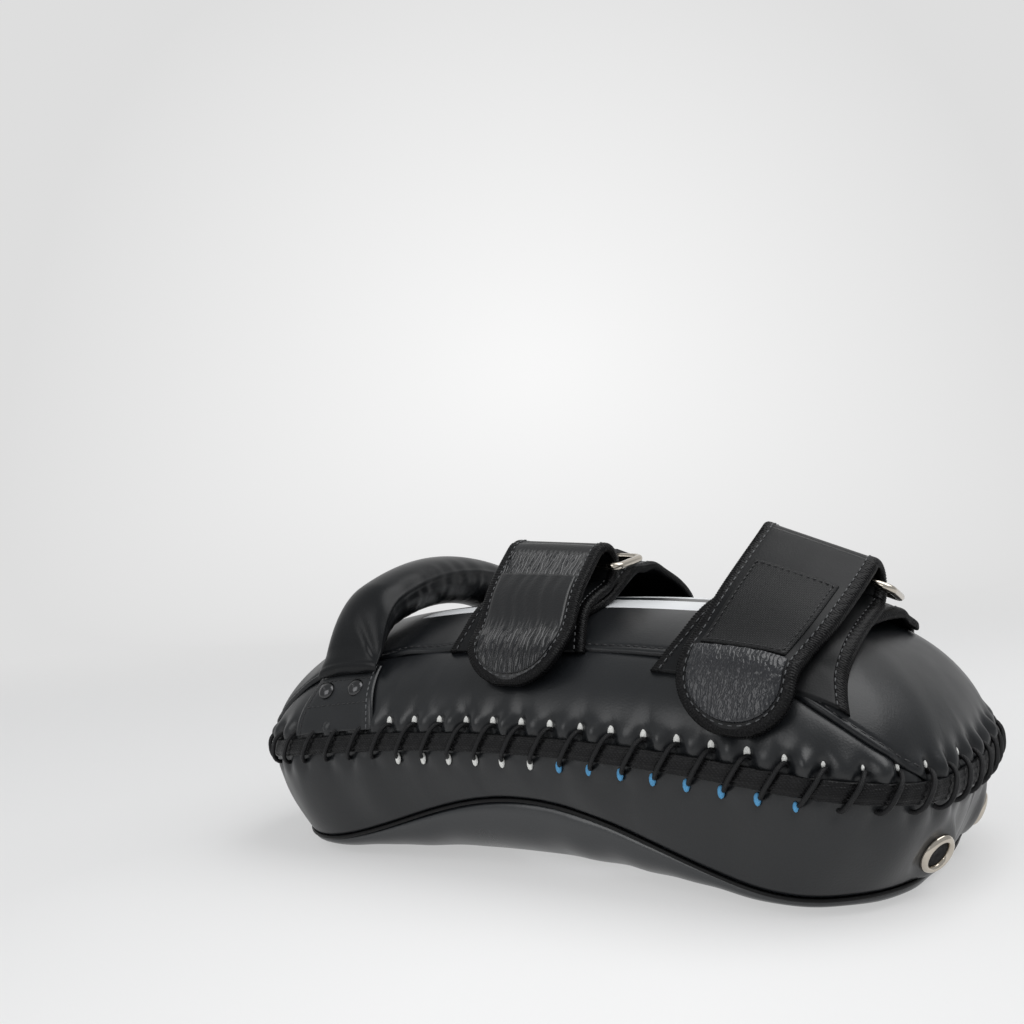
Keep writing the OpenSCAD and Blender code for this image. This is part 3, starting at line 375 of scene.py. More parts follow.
def dome_faces(rows, columns, up):
    """Faces of a grid closed along its rows, whose last row is closed by rungs onto its mirror
    image across the pad."""
    row = np.arange(columns) + (rows - 1) * columns
    near = np.roll(row[::-1], 1)
    half = columns // 2
    i = np.arange(1, half - 1)
    rungs = np.stack((row[i], row[i + 1], near[i + 1], near[i]), axis=1)
    tips = np.array(((row[0], row[1], near[1]), (row[half - 1], row[half], near[half - 1])))
    faces = [grid_corners(rows, columns, True), rungs, tips]
    return faces if up else [f[:, ::-1] for f in faces]


def thicken(piece):
    """Gives a sheet of leather its thickness, inwards from its face."""
    solid = piece.modifiers.new("leather_thickness", "SOLIDIFY")
    solid.thickness = LEATHER * MM
    solid.offset = -1
    return piece


def fit(piece, body, slot, *nodes, fill=None):
    """Sets a piece on its body in place of its nodes. Its slot, for a finish, is not used, and nor
    is its fill.
    """
    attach(piece, body)
    if nodes:
        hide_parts(*nodes)
    return piece


def leather_material(name, dark, pale, grain, gloss, shine=0.5, print_mask=None):
    """Synthetic leather: a soft pebble of the given grain in mm, cloudy tone and cloudy gloss.
    A print mask, worked out from Object coordinates, lays white ink over it."""
    material, tree, shader = start_material(name)
    place = add_node(tree, "TexCoord", out="Object")
    cloud, scuff = (
        add_node(
            tree, "TexNoise", {"Vector": place, "Scale": 1 / (size * MM), "Detail": detail}, "Fac")
        for size, detail in ((LEATHER_CLOUD, 4.0), (LEATHER_SCUFF, 3.0)))
    pebble = add_node(tree, "TexVoronoi", {"Vector": place, "Scale": 1 / (grain * MM)}, "Distance")
    colour = add_node(
        tree, "Mix", {0: cloud, 6: linear(dark), 7: linear(pale)}, 2, data_type="RGBA")
    if print_mask:
        ink = {0: print_mask(tree, place), 6: colour, 7: linear(INK)}
        colour = add_node(tree, "Mix", ink, 2, data_type="RGBA")
    satin = add_node(
        tree, "MapRange",
        {"Value": cloud, "From Min": 0.3, "From Max": 0.7, "To Min": gloss, "To Max": gloss + 0.1})
    relief = add_node(tree, "Math", {0: pebble, 1: scuff}, operation="ADD")
    bump = add_node(
        tree, "Bump", {"Strength": 0.14, "Distance": LEATHER_RELIEF * MM, "Height": relief})
    feed(shader, {
        "Base Color": colour, "Roughness": satin, "Normal": bump, "Specular IOR Level": shine})
    return material


def back_bars(tree, place):
    """Two plain white bars along the back, one on each side of its middle line."""
    axes = add_node(tree, "SeparateXYZ", {0: place}).node.outputs
    along, left, right = (
        add_node(tree, "Math", {0: axes[axis], 1: at * MM, 2: reach * MM}, operation="COMPARE")
        for axis, at, reach in (
            ("X", BAR_MIDDLE, BAR_HALF_LENGTH), ("Y", -BAR_OFF, BAR_HALF_WIDTH),
            ("Y", BAR_OFF, BAR_HALF_WIDTH)))
    both = add_node(tree, "Math", {0: left, 1: right}, operation="MAXIMUM")
    return add_node(tree, "Math", {0: along, 1: both}, operation="MULTIPLY")


case_leather = leather_material("calendered_synthetic_leather", "#0f1113", "#17191c", 1.0, 0.30)
printed_leather = leather_material(
    "screen_printed_synthetic_leather", "#0e1012", "#16181b", 1.0, 0.31, 0.38, back_bars)
u = np.arange(COLUMNS) / COLUMNS
seam = seam_angle(u)
lapped = ease((np.degrees(seam) - LAPPED_FROM) / LAPPED_OVER)

# Centre panel of the back: one piece of leather whose long edges are turned under and lapped over
# the side panels. It runs down to the lacing round both ends.
CENTRE_ROWS, CENTRE_CROWDING, HIDDEN_ROWS = 48, 1.6, 24
LIP_ROUND, LIP_TUCK, LIP_RISE, LIP_REACH = 2.0, 0.8, 2.5, 38.0
TOPSTITCH, GROOVE, GROOVE_WIDTH = 4.2, 0.5, 0.9
LIP_DRAPE, LIP_DRAPE_REACH, LIP_SEED = 0.35, 25.0, 31

share = np.linspace(0, 1, CENTRE_ROWS)[:, None] ** CENTRE_CROWDING
centre = soften(back_surface(u, seam + (RIDGE_ANGLE - seam) * share))
from_lip = run_down(centre)
share = np.linspace(0, 1, HIDDEN_ROWS)[:, None]
under_lip = run_down(soften(back_surface(u, seam * share)))[-1]
lip = np.sqrt(1 - (1 - np.clip(from_lip / LIP_ROUND, 0, 1)) ** 2) * LIP_RISE - LIP_TUCK
lip = lip * bell(from_lip / LIP_REACH) - GROOVE * bell((from_lip - TOPSTITCH) / GROOVE_WIDTH)
drape = LIP_DRAPE * wander(u, LIP_SEED) * bell(from_lip / LIP_DRAPE_REACH)
stand = lapped * (lip + drape) + pucker(u, under_lip + from_lip, *BACK_GATHERS)
centre_lifted = raised(centre, stand)
back_centre = make_piece(
    "back_centre_leather", centre_lifted, dome_faces(CENTRE_ROWS, COLUMNS, True), printed_leather)
fit(thicken(back_centre), "case", "case_leather", "back_centre_panel", fill=0.9)

# Side panels of the back: two lens-shaped pieces between a back seam and the edge. Their top edge
# is tucked under the centre panel's lip and their bottom edge under the tape.
SIDE_ROWS, SIDE_FULLNESS = 36, 0.8
SIDE_TUCK, SIDE_OVERLAP = np.radians(2.4), 0.004
TUCK_DEPTH, TUCK_REACH = 1.0, 4.0
SIDE_CORNER_SHARE = 0.185
first_side = int(np.ceil(COLUMNS * (END_RUN + CORNER_RUN * SIDE_CORNER_SHARE) / EDGE_RUN))

share = np.linspace(0, 1, SIDE_ROWS)[:, None]
sides = soften(back_surface(u, (seam + SIDE_TUCK * lapped + SIDE_OVERLAP) * share))
d = run_down(sides)
stand = SIDE_FULLNESS * np.sin(np.pi * share) * lapped + pucker(u, d, *BACK_GATHERS)
sides_lifted = raised(sides, stand - TUCK_DEPTH * bell((d[-1:] - d) / TUCK_REACH))
for name, start in HALVES:
    side_grid = sides_lifted[:, start + first_side:start + COLUMNS // 2 - first_side + 1]
    side_panel = make_piece(
        "back_side_leather_" + name, side_grid, [grid_corners(*side_grid.shape[:2], False)],
        case_leather)
    fit(thicken(side_panel), "case", "case_leather", "back_side_panel_" + name, fill=0.9)

# Side walls: two halves of leather between the strike seam and the edge, joined in the middle of
# each end and drawn in at the lacing holes. Each end has two vent holes.
WALL_ROWS, WALL_SWELL, WALL_GATHER, WALL_DRAPE, WALL_SEED = 34, 3.0, 0.34, 0.5, 53
SEAM_MIDDLE, SEAM_END, SEAM_REACH = 41.0, 8.0, 150.0
SEAM_END_INSET, SEAM_SIDE_INSET = 17.0, 7.0
SEAM_TUCK, SEAM_TUCK_REACH = 1.2, 1.5
JOIN_DEPTH, JOIN_WIDTH = 1.1, 1.3
VENT_CORNER_TURN, VENT_SHARE_UP, VENT_CUT, VENT_TURN_OUT = np.radians(5.265), 0.28, 8.0, 0.32
VENT_FLAT, VENT_FLAT_FADE = 11.0, 9.0


def seam_level(x):
    """Height of the strike seam: a squared cosine arch over the middle, level at both ends."""
    arch = np.cos(np.pi / 2 * np.minimum(1, np.abs(x) / SEAM_REACH)) ** 2
    return SEAM_END + (SEAM_MIDDLE - SEAM_END) * arch


def wall_surface(u, share):
    """The wall from the strike seam (share 0) to the edge (1): outlines that widen from the seam's
    inset to the edge, with an outward swell of half a sine."""
    swell = WALL_SWELL * np.sin(np.pi * share)
    a = HALF_LENGTH - SEAM_END_INSET * (1 - share) + swell
    x, y = outline(u, a, HALF_WIDTH - SEAM_SIDE_INSET * (1 - share) + swell, CORNER)
    low = seam_level(x)
    return points_of(x, y, low + (edge_level(x) - low) * share)


share = np.linspace(0, 1, WALL_ROWS)[:, None]
wall = soften(wall_surface(u, share))
from_join = np.abs(np.mod(u + 0.25, 0.5) - 0.25) * EDGE_RUN
stand = WALL_GATHER * pucker(u, run_down(wall[::-1])[::-1], *WALL_GATHERS)
stand = stand + WALL_DRAPE * wander(u, WALL_SEED) * np.sin(np.pi * share)
stand = stand - JOIN_DEPTH * bell(from_join / JOIN_WIDTH)
wall_lifted = raised(wall, stand - SEAM_TUCK * bell(run_down(wall) / SEAM_TUCK_REACH))

# The vents lie a given share up the wall, a little way round each corner. Their eyelets draw the
# leather flat round them, turned a little towards the side.
vent_run = (END_RUN + CORNER * VENT_CORNER_TURN) / EDGE_RUN
vent_u = np.array((vent_run, 0.5 - vent_run, 0.5 + vent_run, 1 - vent_run))
vent_column = np.round(vent_u * COLUMNS).astype(int)
vent_row = int(round(VENT_SHARE_UP * (WALL_ROWS - 1)))
vent_places = wall_lifted[vent_row, vent_column]
vent_normals = normals_of(wall, True)[vent_row, vent_column]
vent_normals[:, 1] += np.sign(vent_places[:, 1]) * VENT_TURN_OUT
vent_normals = unit(vent_normals)
for place, normal in zip(vent_places, vent_normals):
    from_vent = wall_lifted - place
    flat = 1 - ease((np.linalg.norm(from_vent, axis=-1) - VENT_FLAT) / VENT_FLAT_FADE)
    wall_lifted = wall_lifted - normal * (from_vent @ normal * flat)[..., None]
for name, start in HALVES:
    columns = np.arange(start, start + COLUMNS // 2 + 1) % COLUMNS
    wall_points = wall_lifted[:, columns].reshape(-1, 3)
    quads = grid_corners(WALL_ROWS, len(columns), False)
    from_vents = np.linalg.norm(wall_points[quads].mean(axis=1)[:, None] - vent_places, axis=-1)
    quads = quads[(from_vents > VENT_CUT).all(axis=1)]
    side_wall = make_piece("side_wall_leather_" + name, wall_points, [quads], case_leather)
    fit(thicken(side_wall), "case", "case_leather", "side_wall_" + name, fill=0.9)

# Strike face: one moulded sheet of leather over dense foam, with a white ring target printed on it.
# The pad lies on it, on two bands near its ends.
STRIKE_ROWS, STRIKE_COLUMNS, STRIKE_POWER = 40, 384, 2 / 3
STRIKE_END_ROUND, STRIKE_ARCH, REST_REACH, REST_PRESS = 60.0, 2.5, 150.0, 0.6
STRIKE_DRAPE, STRIKE_DRAPE_OFF, STRIKE_DRAPE_REACH, STRIKE_SEED = 0.35, 22.0, 16.0, 61
TARGET_X, TARGET_DISC, TARGET_RING, TARGET_BAND = 14.0, 31.5, 58.75, 8.75


def strike_surface(u, angle):
    """The strike face from its seam (angle 0) to its middle line: outlines that shrink with the
    2/3 power of the cosine and sink with that of the sine, cut off level by the floor."""
    inner, down = np.cos(angle) ** STRIKE_POWER, np.sin(angle) ** STRIKE_POWER
    a = HALF_LENGTH - SEAM_END_INSET - STRIKE_END_ROUND * (1 - inner)
    x, y = outline(u, a, (HALF_WIDTH - SEAM_SIDE_INSET) * inner, CORNER * inner)
    middle = STRIKE_ARCH - (STRIKE_ARCH + REST_PRESS) * (x / REST_REACH) ** 2
    low = seam_level(x)
    return points_of(x, y, low + (middle - low) * down)


def target(tree, place):
    """A white disc and a white ring round it, by distance from the target's middle."""
    flat = add_node(tree, "Mapping", {"Vector": place, "Scale": (1, 1, 0)})
    radius = add_node(
        tree, "VectorMath", {0: flat, 1: (TARGET_X * MM, 0, 0)}, "Value", operation="DISTANCE")
    disc = add_node(tree, "Math", {0: radius, 1: TARGET_DISC * MM}, operation="LESS_THAN")
    ring = add_node(
        tree, "Math", {0: radius, 1: TARGET_RING * MM, 2: TARGET_BAND * MM}, operation="COMPARE")
    return add_node(tree, "Math", {0: disc, 1: ring}, operation="MAXIMUM")


# Its colours are paler than the case leather's: a painted reflection of the pale floor under the
# strike face. The white target is print.
target_leather = leather_material(
    "target_printed_leather_painted_reflection", "#191b1e", "#202326", 1.0, 0.26, 0.8, target)
strike_u = np.arange(STRIKE_COLUMNS) / STRIKE_COLUMNS
strike_angle = np.linspace(0.0, RIDGE_ANGLE, STRIKE_ROWS)[:, None]
strike = soften(strike_surface(strike_u, strike_angle))
d = run_down(strike)
drape = wander(strike_u, STRIKE_SEED) * bell((d - STRIKE_DRAPE_OFF) / STRIKE_DRAPE_REACH)
strike = raised(strike, SEAM_TUCK * bell(d / SEAM_TUCK_REACH) - STRIKE_DRAPE * drape)
strike[..., 2] = np.maximum(strike[..., 2], 0)
strike_face = make_piece(
    "strike_face_leather", strike, dome_faces(STRIKE_ROWS, STRIKE_COLUMNS, False), target_leather)
fit(thicken(strike_face), "case", "case_leather", "strike_face_panel", fill=0.95)

# Bead: a thin leather-covered cord sewn into the strike seam, between the walls and the face. Only
# its outer half shows.
BEAD_RADIUS, BEAD_OUT, BEAD_SIDES = 1.0, 0.3, 10


def turns(count):
    """Even angles round a circle."""
    return np.linspace(0, 2 * np.pi, count, endpoint=False)


def outward_of(curve):
    """Level outward directions of a closed curve that runs anticlockwise."""
    along = steps_round(curve, 0)
    return unit(points_of(along[:, 1], -along[:, 0], 0))


def rim_grid(line, reach, rise):
    """Rings of points about a closed curve: a reach out from it on the level and a rise over it."""
    return line[:, None] + outward_of(line)[:, None] * reach[..., None] + UP * rise[..., None]


def tube_faces(rings, sides, capped):
    """Faces of rings of points, capped at both ends or else joined end to end."""
    if not capped:
        return [np.mod(grid_corners(rings + 1, sides, True), rings * sides)]
    ring = np.arange(sides)
    return [grid_corners(rings, sides, True), np.stack((ring[::-1], ring + (rings - 1) * sides))]


def tube_piece(name, grid, material, capped=True):
    """A closed mesh from rings of points, capped at both ends or else joined end to end."""
    return make_piece(name, grid, tube_faces(*grid.shape[:2], capped), material, closed=True)


# The piping is coloured darker than the case leather: painted shade, so that the bead reads as the
# dark groove of the seam.
piping_leather = leather_material("glazed_piping_leather", "#060607", "#0b0b0c", 0.8, 0.4, 0.2)
turn = turns(BEAD_SIDES)
bead_grid = rim_grid(wall[0], BEAD_OUT + BEAD_RADIUS * np.cos(turn), BEAD_RADIUS * np.sin(turn))
bead = tube_piece("strike_seam_bead", bead_grid, piping_leather, capped=False)
fit(bead, "case", "seam_piping", "strike_bead")

# Edge tape: a woven polyester tape folded over the raw edges of the panels and walls, in three
# stacked ribs, pressed in where each turn of the cord crosses it.
TAPE_REACH, TAPE_HALF, TAPE_SIDES = 3.8, 4.6, 28
TAPE_RIB, TAPE_RIB_PITCH, RISE_SQUARE, REACH_SQUARE = 0.6, 3.1, 0.7, 0.55
CROSSING_SLANT, PRESS, PRESS_WIDTH = 0.55, 0.7, 2.2
PUFF_BESIDE, PUFF_BESIDE_OFF, PUFF_BESIDE_WIDTH = 0.35, 5.0, 2.5
EDGE_COLUMNS = 16 * STITCHES


def square_off(wave, power):
    """A sine or cosine drawn towards a square wave by a power."""
    return np.sign(wave) * np.abs(wave) ** power


def woven_material(name, dark, pale, thread, roughness, shine):
    """Woven tape: crossed threads of a spacing in mm, drawn twice as coarse as they are so that
    they show, with a dull fibre gloss."""
    material, tree, shader = start_material(name)
    place = add_node(tree, "TexCoord", out="Object")
    threads = {"Vector": place, "Scale": 2 * np.pi / (20 * 2 * thread * MM), "Distortion": 1.2}
    waves = [
        add_node(tree, "TexWave", threads, "Fac", bands_direction=way) for way in ("DIAGONAL", "Z")]
    cross = add_node(tree, "Math", dict(enumerate(waves)), operation="MULTIPLY")
    fuzz = add_node(
        tree, "TexNoise", {"Vector": place, "Scale": 1 / (0.6 * MM), "Detail": 2.0}, "Fac")
    relief = add_node(tree, "Math", {0: cross, 1: fuzz}, operation="ADD")
    # Painted shade: the hollows between the threads are coloured darker than the threads.
    tone = add_node(tree, "Mix", {0: cross, 6: linear(dark), 7: linear(pale)}, 2, data_type="RGBA")
    bump = add_node(tree, "Bump", {"Strength": 0.5, "Distance": 0.3 * MM, "Height": relief})
    feed(shader, {
        "Base Color": tone, "Normal": bump, "Roughness": roughness, "Specular IOR Level": shine})
    return material


edge_woven = woven_material("woven_polyester_edge_tape", "#050506", "#141416", 0.5, 0.4, 0.22)
edge_u = np.arange(EDGE_COLUMNS) / EDGE_COLUMNS
edge_line = soften(back_surface(edge_u, np.zeros((1, 1))))[0]
turn = turns(TAPE_SIDES)
tape_rise = TAPE_HALF * square_off(np.sin(turn), RISE_SQUARE)
ribs = TAPE_RIB * (0.5 - 0.5 * np.cos(2 * np.pi * tape_rise / TAPE_RIB_PITCH + np.pi))
crossing = (np.mod(edge_u * STITCHES + 0.5, 1) - 0.5)[:, None] * PITCH - tape_rise * CROSSING_SLANT
pressed = PRESS * bell(crossing / PRESS_WIDTH)
pressed -= PUFF_BESIDE * bell((np.abs(crossing) - PUFF_BESIDE_OFF) / PUFF_BESIDE_WIDTH)
tape_reach = TAPE_REACH / 2 * (1 + square_off(np.cos(turn), REACH_SQUARE))
tape_reach = np.maximum(tape_reach - (ribs + pressed) * (np.cos(turn) > 0), 0)
tape_grid = rim_grid(edge_line, tape_reach, tape_rise)
tape = tube_piece("woven_edge_tape", tape_grid, edge_woven, capped=False)
fit(tape, "case", "edge_tape", "edge_tape")

# Lacing: one black braided cord, whipped over the tape through a hole in the back and one in the
# wall at every stitch. It shows between its holes and runs hidden through the foam.
CORD_RADIUS, CORD_SIDES, CORD_STEPS = 1.15, 8, 24
LOOP_MIDDLE, LOOP_REACH, LOOP_SHOULDER, LOOP_PRESS = -0.3, 5.0, 0.5, 0.2
CORD_DARK, CORD_PALE, STRAND_SCALE = "#050506", "#131315", 0.42


def edge_frame(u):
    """The edge point and its level outward direction at shares of the way round."""
    return (
        np.stack([np.interp(u, edge_u, line[:, k], period=1) for k in range(3)], axis=-1)
        for line in (edge_line, outward_of(edge_line)))


def lace_line(stitch):
    """The cord's middle: an ellipse about the edge, drawn in square over the tape, one turn a
    stitch, that leans by moving faster along the edge on its outer half."""
    turn = 2 * np.pi * stitch
    point, out = edge_frame((stitch + (HOLE_SHIFT - 0.25) * np.sin(turn)) / STITCHES)
    square = np.maximum(np.cos(turn), 0) ** 2
    reach = LOOP_MIDDLE + LOOP_REACH * np.cos(turn) + LOOP_SHOULDER * np.sin(2 * turn) ** 2
    rise = HOLE_RISE * np.sin(turn) * (1 - LOOP_PRESS * square)
    return point + out * reach[:, None] + UP * rise[:, None]


def round_wire(line, radius, sides, up):
    """Rings of points about a closed line: a circle across its direction, kept one side up."""
    along = unit(steps_round(line, 0))
    side = unit(np.cross(along, up))
    turn = turns(sides)[:, None]
    over = np.cross(side, along)
    return line[:, None] + radius * (side[:, None] * np.cos(turn) + over[:, None] * np.sin(turn))


cord, tree, shader = start_material("braided_polyester_cord")
# Braid: two sets of strands that cross round the cord, from the piece's own run and turn values.
lay = add_node(tree, "UVMap")
strands = []
for way in (np.pi / 4, -np.pi / 4):
    turned = add_node(tree, "Mapping", {"Vector": lay, "Rotation": (0, 0, way)})
    strands.append(add_node(tree, "TexWave", {"Vector": turned, "Scale": STRAND_SCALE}, "Fac"))
braid = add_node(tree, "Math", dict(enumerate(strands)), operation="MAXIMUM")
# Painted shade: the grooves between the strands are coloured darker than the strands.
tone = add_node(
    tree, "Mix", {0: braid, 6: linear(CORD_DARK), 7: linear(CORD_PALE)}, 2, data_type="RGBA")
bump = add_node(tree, "Bump", {"Strength": 0.6, "Distance": 0.3 * MM, "Height": braid})
feed(shader, {"Base Color": tone, "Normal": bump, "Roughness": 0.5, "Specular IOR Level": 0.3})

lace_step = np.arange(STITCHES * CORD_STEPS) / CORD_STEPS
lace = lace_line(lace_step)
lace_turn = 2 * np.pi * lace_step[:, None]
_, lace_out = edge_frame(lace_step / STITCHES)
lace_grid = round_wire(
    lace, CORD_RADIUS, CORD_SIDES, lace_out * np.cos(lace_turn) + UP * np.sin(lace_turn))
lacing = tube_piece("edge_lacing_cord", lace_grid, cord, capped=False)
lace_run = run_down(np.vstack((lace, lace[:1])))
cord_girth = np.linspace(0, 2 * np.pi * CORD_RADIUS, CORD_SIDES + 1)
cord_lay = np.stack(np.broadcast_arrays(cord_girth, lace_run[:, None]), axis=-1).reshape(-1, 2)
cord_lay = cord_lay[grid_corners(len(lace_run), CORD_SIDES + 1, False)]
cord_map = lacing.data.uv_layers.new(name="run_and_turn")
cord_map.data.foreach_set("uv", cord_lay.astype(np.float32).ravel())
fit(lacing, "case", "lacing_cord", "edge_lacing")

# Foam in the lacing holes: the cord pulls each hole into a slit, and the foam behind shows in it.
# White back foam shows over the edge, and under it white foam towards the hand end, then blue. The
# grip's tabs cover the holes over the edge beside them.
FLECK_OVER, FLECK_UNDER, FLECK_LIFT, FLECK_SHRINK = (3.3, 1.8, 1.0), (3.1, 1.7, 1.0), 0.7, 0.45
SLIT_OVER, SLIT_UNDER = HOLE_RISE + 2.2, HOLE_RISE + 0.8
SLIT_BAND, SLIT_BAND_SHARE = np.array((-0.5, 0, 0.5)), np.array((-0.02, 0, 0.02))
FLECK_SIDES, FLECK_RINGS = 10, 6
GRIP_X, TAB_CLEAR, TAB_IN = -113.997, 33.0, 30.0
FLECK_FROM, BLUE_FROM, FLECK_TO = -72.0, 12.0, 152.0


def foam_material(name, colour, pore):
    """Open-cell foam: pores of a size in mm over a matt colour, their hollows darker by painted
    shade.
    """
    material, tree, shader = start_material(name)
    place = add_node(tree, "TexCoord", out="Object")
    pores = add_node(tree, "TexVoronoi", {"Vector": place, "Scale": 1 / (pore * MM)}, "Distance")
    pale = linear(colour)
    pore_shade = (*(0.72 * channel for channel in pale[:3]), 1.0)
    tone = add_node(tree, "Mix", {0: pores, 6: pore_shade, 7: pale}, 2, data_type="RGBA")
    bump = add_node(tree, "Bump", {"Strength": 0.4, "Distance": 0.3 * MM, "Height": pores})
    feed(shader, {"Base Color": tone, "Normal": bump, "Roughness": 0.85})
    return material


def copies(name, template, faces, places, axes, material):
    """One closed mesh of copies of a small template, each set at its place along its three axes."""
    points = places[:, None] + np.einsum("kj,njc->nkc", template, axes)
    shift = (np.arange(len(places)) * len(template))[:, None, None]
    faces = [(f + shift).reshape(-1, f.shape[1]) for f in faces]
    return make_piece(name, points, faces, material, closed=True)


def unit_ball(sides, rings):
    """A unit ball as rings of points between two poles, with its faces."""
    lift = np.linspace(-np.pi / 2, np.pi / 2, rings + 2)[1:-1, None]
    turn = turns(sides)
    ball = points_of(np.cos(lift) * np.cos(turn), np.cos(lift) * np.sin(turn), np.sin(lift))
    ring, top = np.arange(sides), (rings - 1) * sides
    after = np.roll(ring, -1)
    low = np.stack((after, ring, np.full(sides, sides * rings)), 1)
    high = np.stack((top + ring, top + after, np.full(sides, sides * rings + 1)), 1)
    points = np.vstack((ball.reshape(-1, 3), -UP, UP))
    return points, [grid_corners(rings, sides, True), np.vstack((low, high))]


def surface_axes(along, normal):
    """Axes on a surface: a direction laid into it, the direction across, and its normal."""
    along = unit(along - normal * np.sum(along * normal, -1, keepdims=True))
    return np.stack((along, np.cross(normal, along), normal), axis=1)


def slit_flecks(shift, band, dip, size):
    """Places and axes of a fleck at every hole: on the middle row of a narrow band of surface, sunk
    by its dip, with its length up the surface, and smaller at the corners."""
    hole_u = np.mod((np.arange(STITCHES) + shift) / STITCHES, 1)
    column = np.round(hole_u * COLUMNS).astype(int) % COLUMNS
    normal = normals_of(band, True)[1]
    place = (band[1] + normal * (dip + FLECK_LIFT)[:, None])[column]
    shrink = 1 - FLECK_SHRINK * corner_share(hole_u)
    axes = surface_axes(UP, normal[column]) * np.array(size)[:, None] * shrink[:, None, None]
    return place, axes


white_foam = foam_material("white_open_cell_foam", "#f2f2ee", 0.7)
blue_foam = foam_material("blue_open_cell_foam", "#5aa0d0", 0.7)
dense_foam = foam_material("charcoal_dense_foam", "#0d0d0e", 0.5)
ball, ball_faces = unit_ball(FLECK_SIDES, FLECK_RINGS)

slit_angle = np.arcsin((SLIT_OVER + SLIT_BAND) / BACK_RISE)[:, None]
slit_dip = pucker(u, SLIT_OVER, *BACK_GATHERS)
place, axes = slit_flecks(HOLE_SHIFT, soften(back_surface(u, slit_angle)), slit_dip, FLECK_OVER)
shows = np.abs(place[:, 0] - GRIP_X) > TAB_CLEAR
shows |= np.abs(place[:, 1]) < HALF_WIDTH - TAB_IN
over_flecks = copies(
    "white_foam_over_edge", ball, ball_faces, place[shows], axes[shows], white_foam)
fit(over_flecks, "case", "white_foam")

wall_height = edge_level(wall[-1, :, 0]) - seam_level(wall[-1, :, 0])
slit_share = 1 - SLIT_UNDER / wall_height + SLIT_BAND_SHARE[:, None]
slit_dip = WALL_GATHER * pucker(u, SLIT_UNDER, *WALL_GATHERS)
place, axes = slit_flecks(-HOLE_SHIFT, soften(wall_surface(u, slit_share)), slit_dip, FLECK_UNDER)
for colour, foam, start, end in (
        ("white", white_foam, FLECK_FROM, BLUE_FROM), ("blue", blue_foam, BLUE_FROM, FLECK_TO)):
    shows = (place[:, 0] >= start) & (place[:, 0] < end)
    under_flecks = copies(
        colour + "_foam_under_edge", ball, ball_faces, place[shows], axes[shows], foam)
    fit(under_flecks, "case", colour + "_foam")


# Foam layers: three glued sheets inside the case, dense at the strike face, and the grip's core.
# They are the frame's own solids, hidden but for the holes.
def clad(material, *names):
    """Gives the frame's own solids their material."""
    for name in names:
        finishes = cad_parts[name].data.materials
        finishes.clear()
        finishes.append(material)


clad(dense_foam, "strike_foam")
clad(blue_foam, "core_foam")
clad(white_foam, "back_foam", "grip_core")

# Vent eyelets: four nickel-plated brass eyelets, rolled over the leather with a steel washer
# inside. A plug of the dark charcoal foam fills each bore: painted shade for the hole, standing for
# the foam seen in it.
EYELET_PROFILE = np.array((
    (6.3, -6.0), (6.3, -0.6), (6.35, 0.3), (6.55, 1.0), (6.95, 1.7), (7.5, 2.15), (8.1, 2.25),
    (8.7, 2.0), (9.3, 1.45), (9.8, 0.7), (10.0, 0.0), (9.9, -0.4), (9.4, -0.6), (7.2, -0.6),
    (7.2, -6.0)))
VENT_PROFILE = np.array(((0.02, -5.5), (6.33, -5.5), (6.33, 0.1), (0.02, 0.1)))
EYELET_LIFT, EYELET_SIDES, VENT_SIDES = 0.3, 40, 24


def plated_material(name, colour, roughness, haze):
    """Plated metal: bright, with a faint cloudy haze in its gloss."""
    material, tree, shader = start_material(name)
    place = add_node(tree, "TexCoord", out="Object")
    cloud = add_node(
        tree, "TexNoise", {"Vector": place, "Scale": 1 / (2.5 * MM), "Detail": 4.0}, "Fac")
    gloss = add_node(
        tree, "MapRange",
        {"Value": cloud, "From Min": 0.3, "From Max": 0.7, "To Min": roughness,
         "To Max": roughness + haze})
    feed(shader, {"Base Color": linear(colour), "Roughness": gloss, "Metallic": 1.0})
    return material


def lathe(profile, sides):
    """A closed profile of radius and height turned about the third axis, with its faces."""
    turn, r, z = turns(sides), profile[:, :1], profile[:, 1:]
    points = points_of(r * np.cos(turn), r * np.sin(turn), z)
    return points.reshape(-1, 3), tube_faces(len(profile), sides, False)


nickel = plated_material("nickel_plated_brass", "#c4bcb0", 0.10, 0.10)
black_nickel = plated_material("black_nickel_plate", "#4c4c4d", 0.16, 0.10)
dull_steel = plated_material("tumbled_steel", "#8e8e8c", 0.4, 0.15)
vent_places = vent_places + EYELET_LIFT * vent_normals
vent_axes = surface_axes(UP, vent_normals)
eyelets = copies(
    "vent_eyelet_rims", *lathe(EYELET_PROFILE, EYELET_SIDES), vent_places, vent_axes, nickel)
fit(eyelets, "case", "nickel_plate", "vent_eyelets")
vent_shade_plugs = copies(
    "vent_bore_shade_plugs", *lathe(VENT_PROFILE, VENT_SIDES), vent_places, vent_axes,
    dense_foam)
fit(vent_shade_plugs, "case", "dense_foam")
clad(dull_steel, "vent_washers", "rivet_burrs")

# Top stitch of the back seams: a row of bonded polyester thread along each lip of the centre panel,
# each stitch a short rounded bar half sunk in the leather. A stitch has a length, a spacing and a
# radius.
STITCH_SIDES, LIP_STITCH = 6, (3.0, 4.4, 0.42)
STITCH_ALONG, STITCH_GIRTH = np.array((-0.5, -0.34, 0.34, 0.5)), np.array((0.3, 1, 1, 0.3))
THREAD_TWIST, SEAM_START = 0.5, first_side + 8


def resample(line, spacing):
    """The middles of equal steps along a line, of about a given spacing."""
    run = run_down(line)
    count = max(1, int(run[-1] / spacing))
    at = (np.arange(count) + 0.5) * run[-1] / count
    return np.stack([np.interp(at, run, column) for column in line.T], axis=-1)


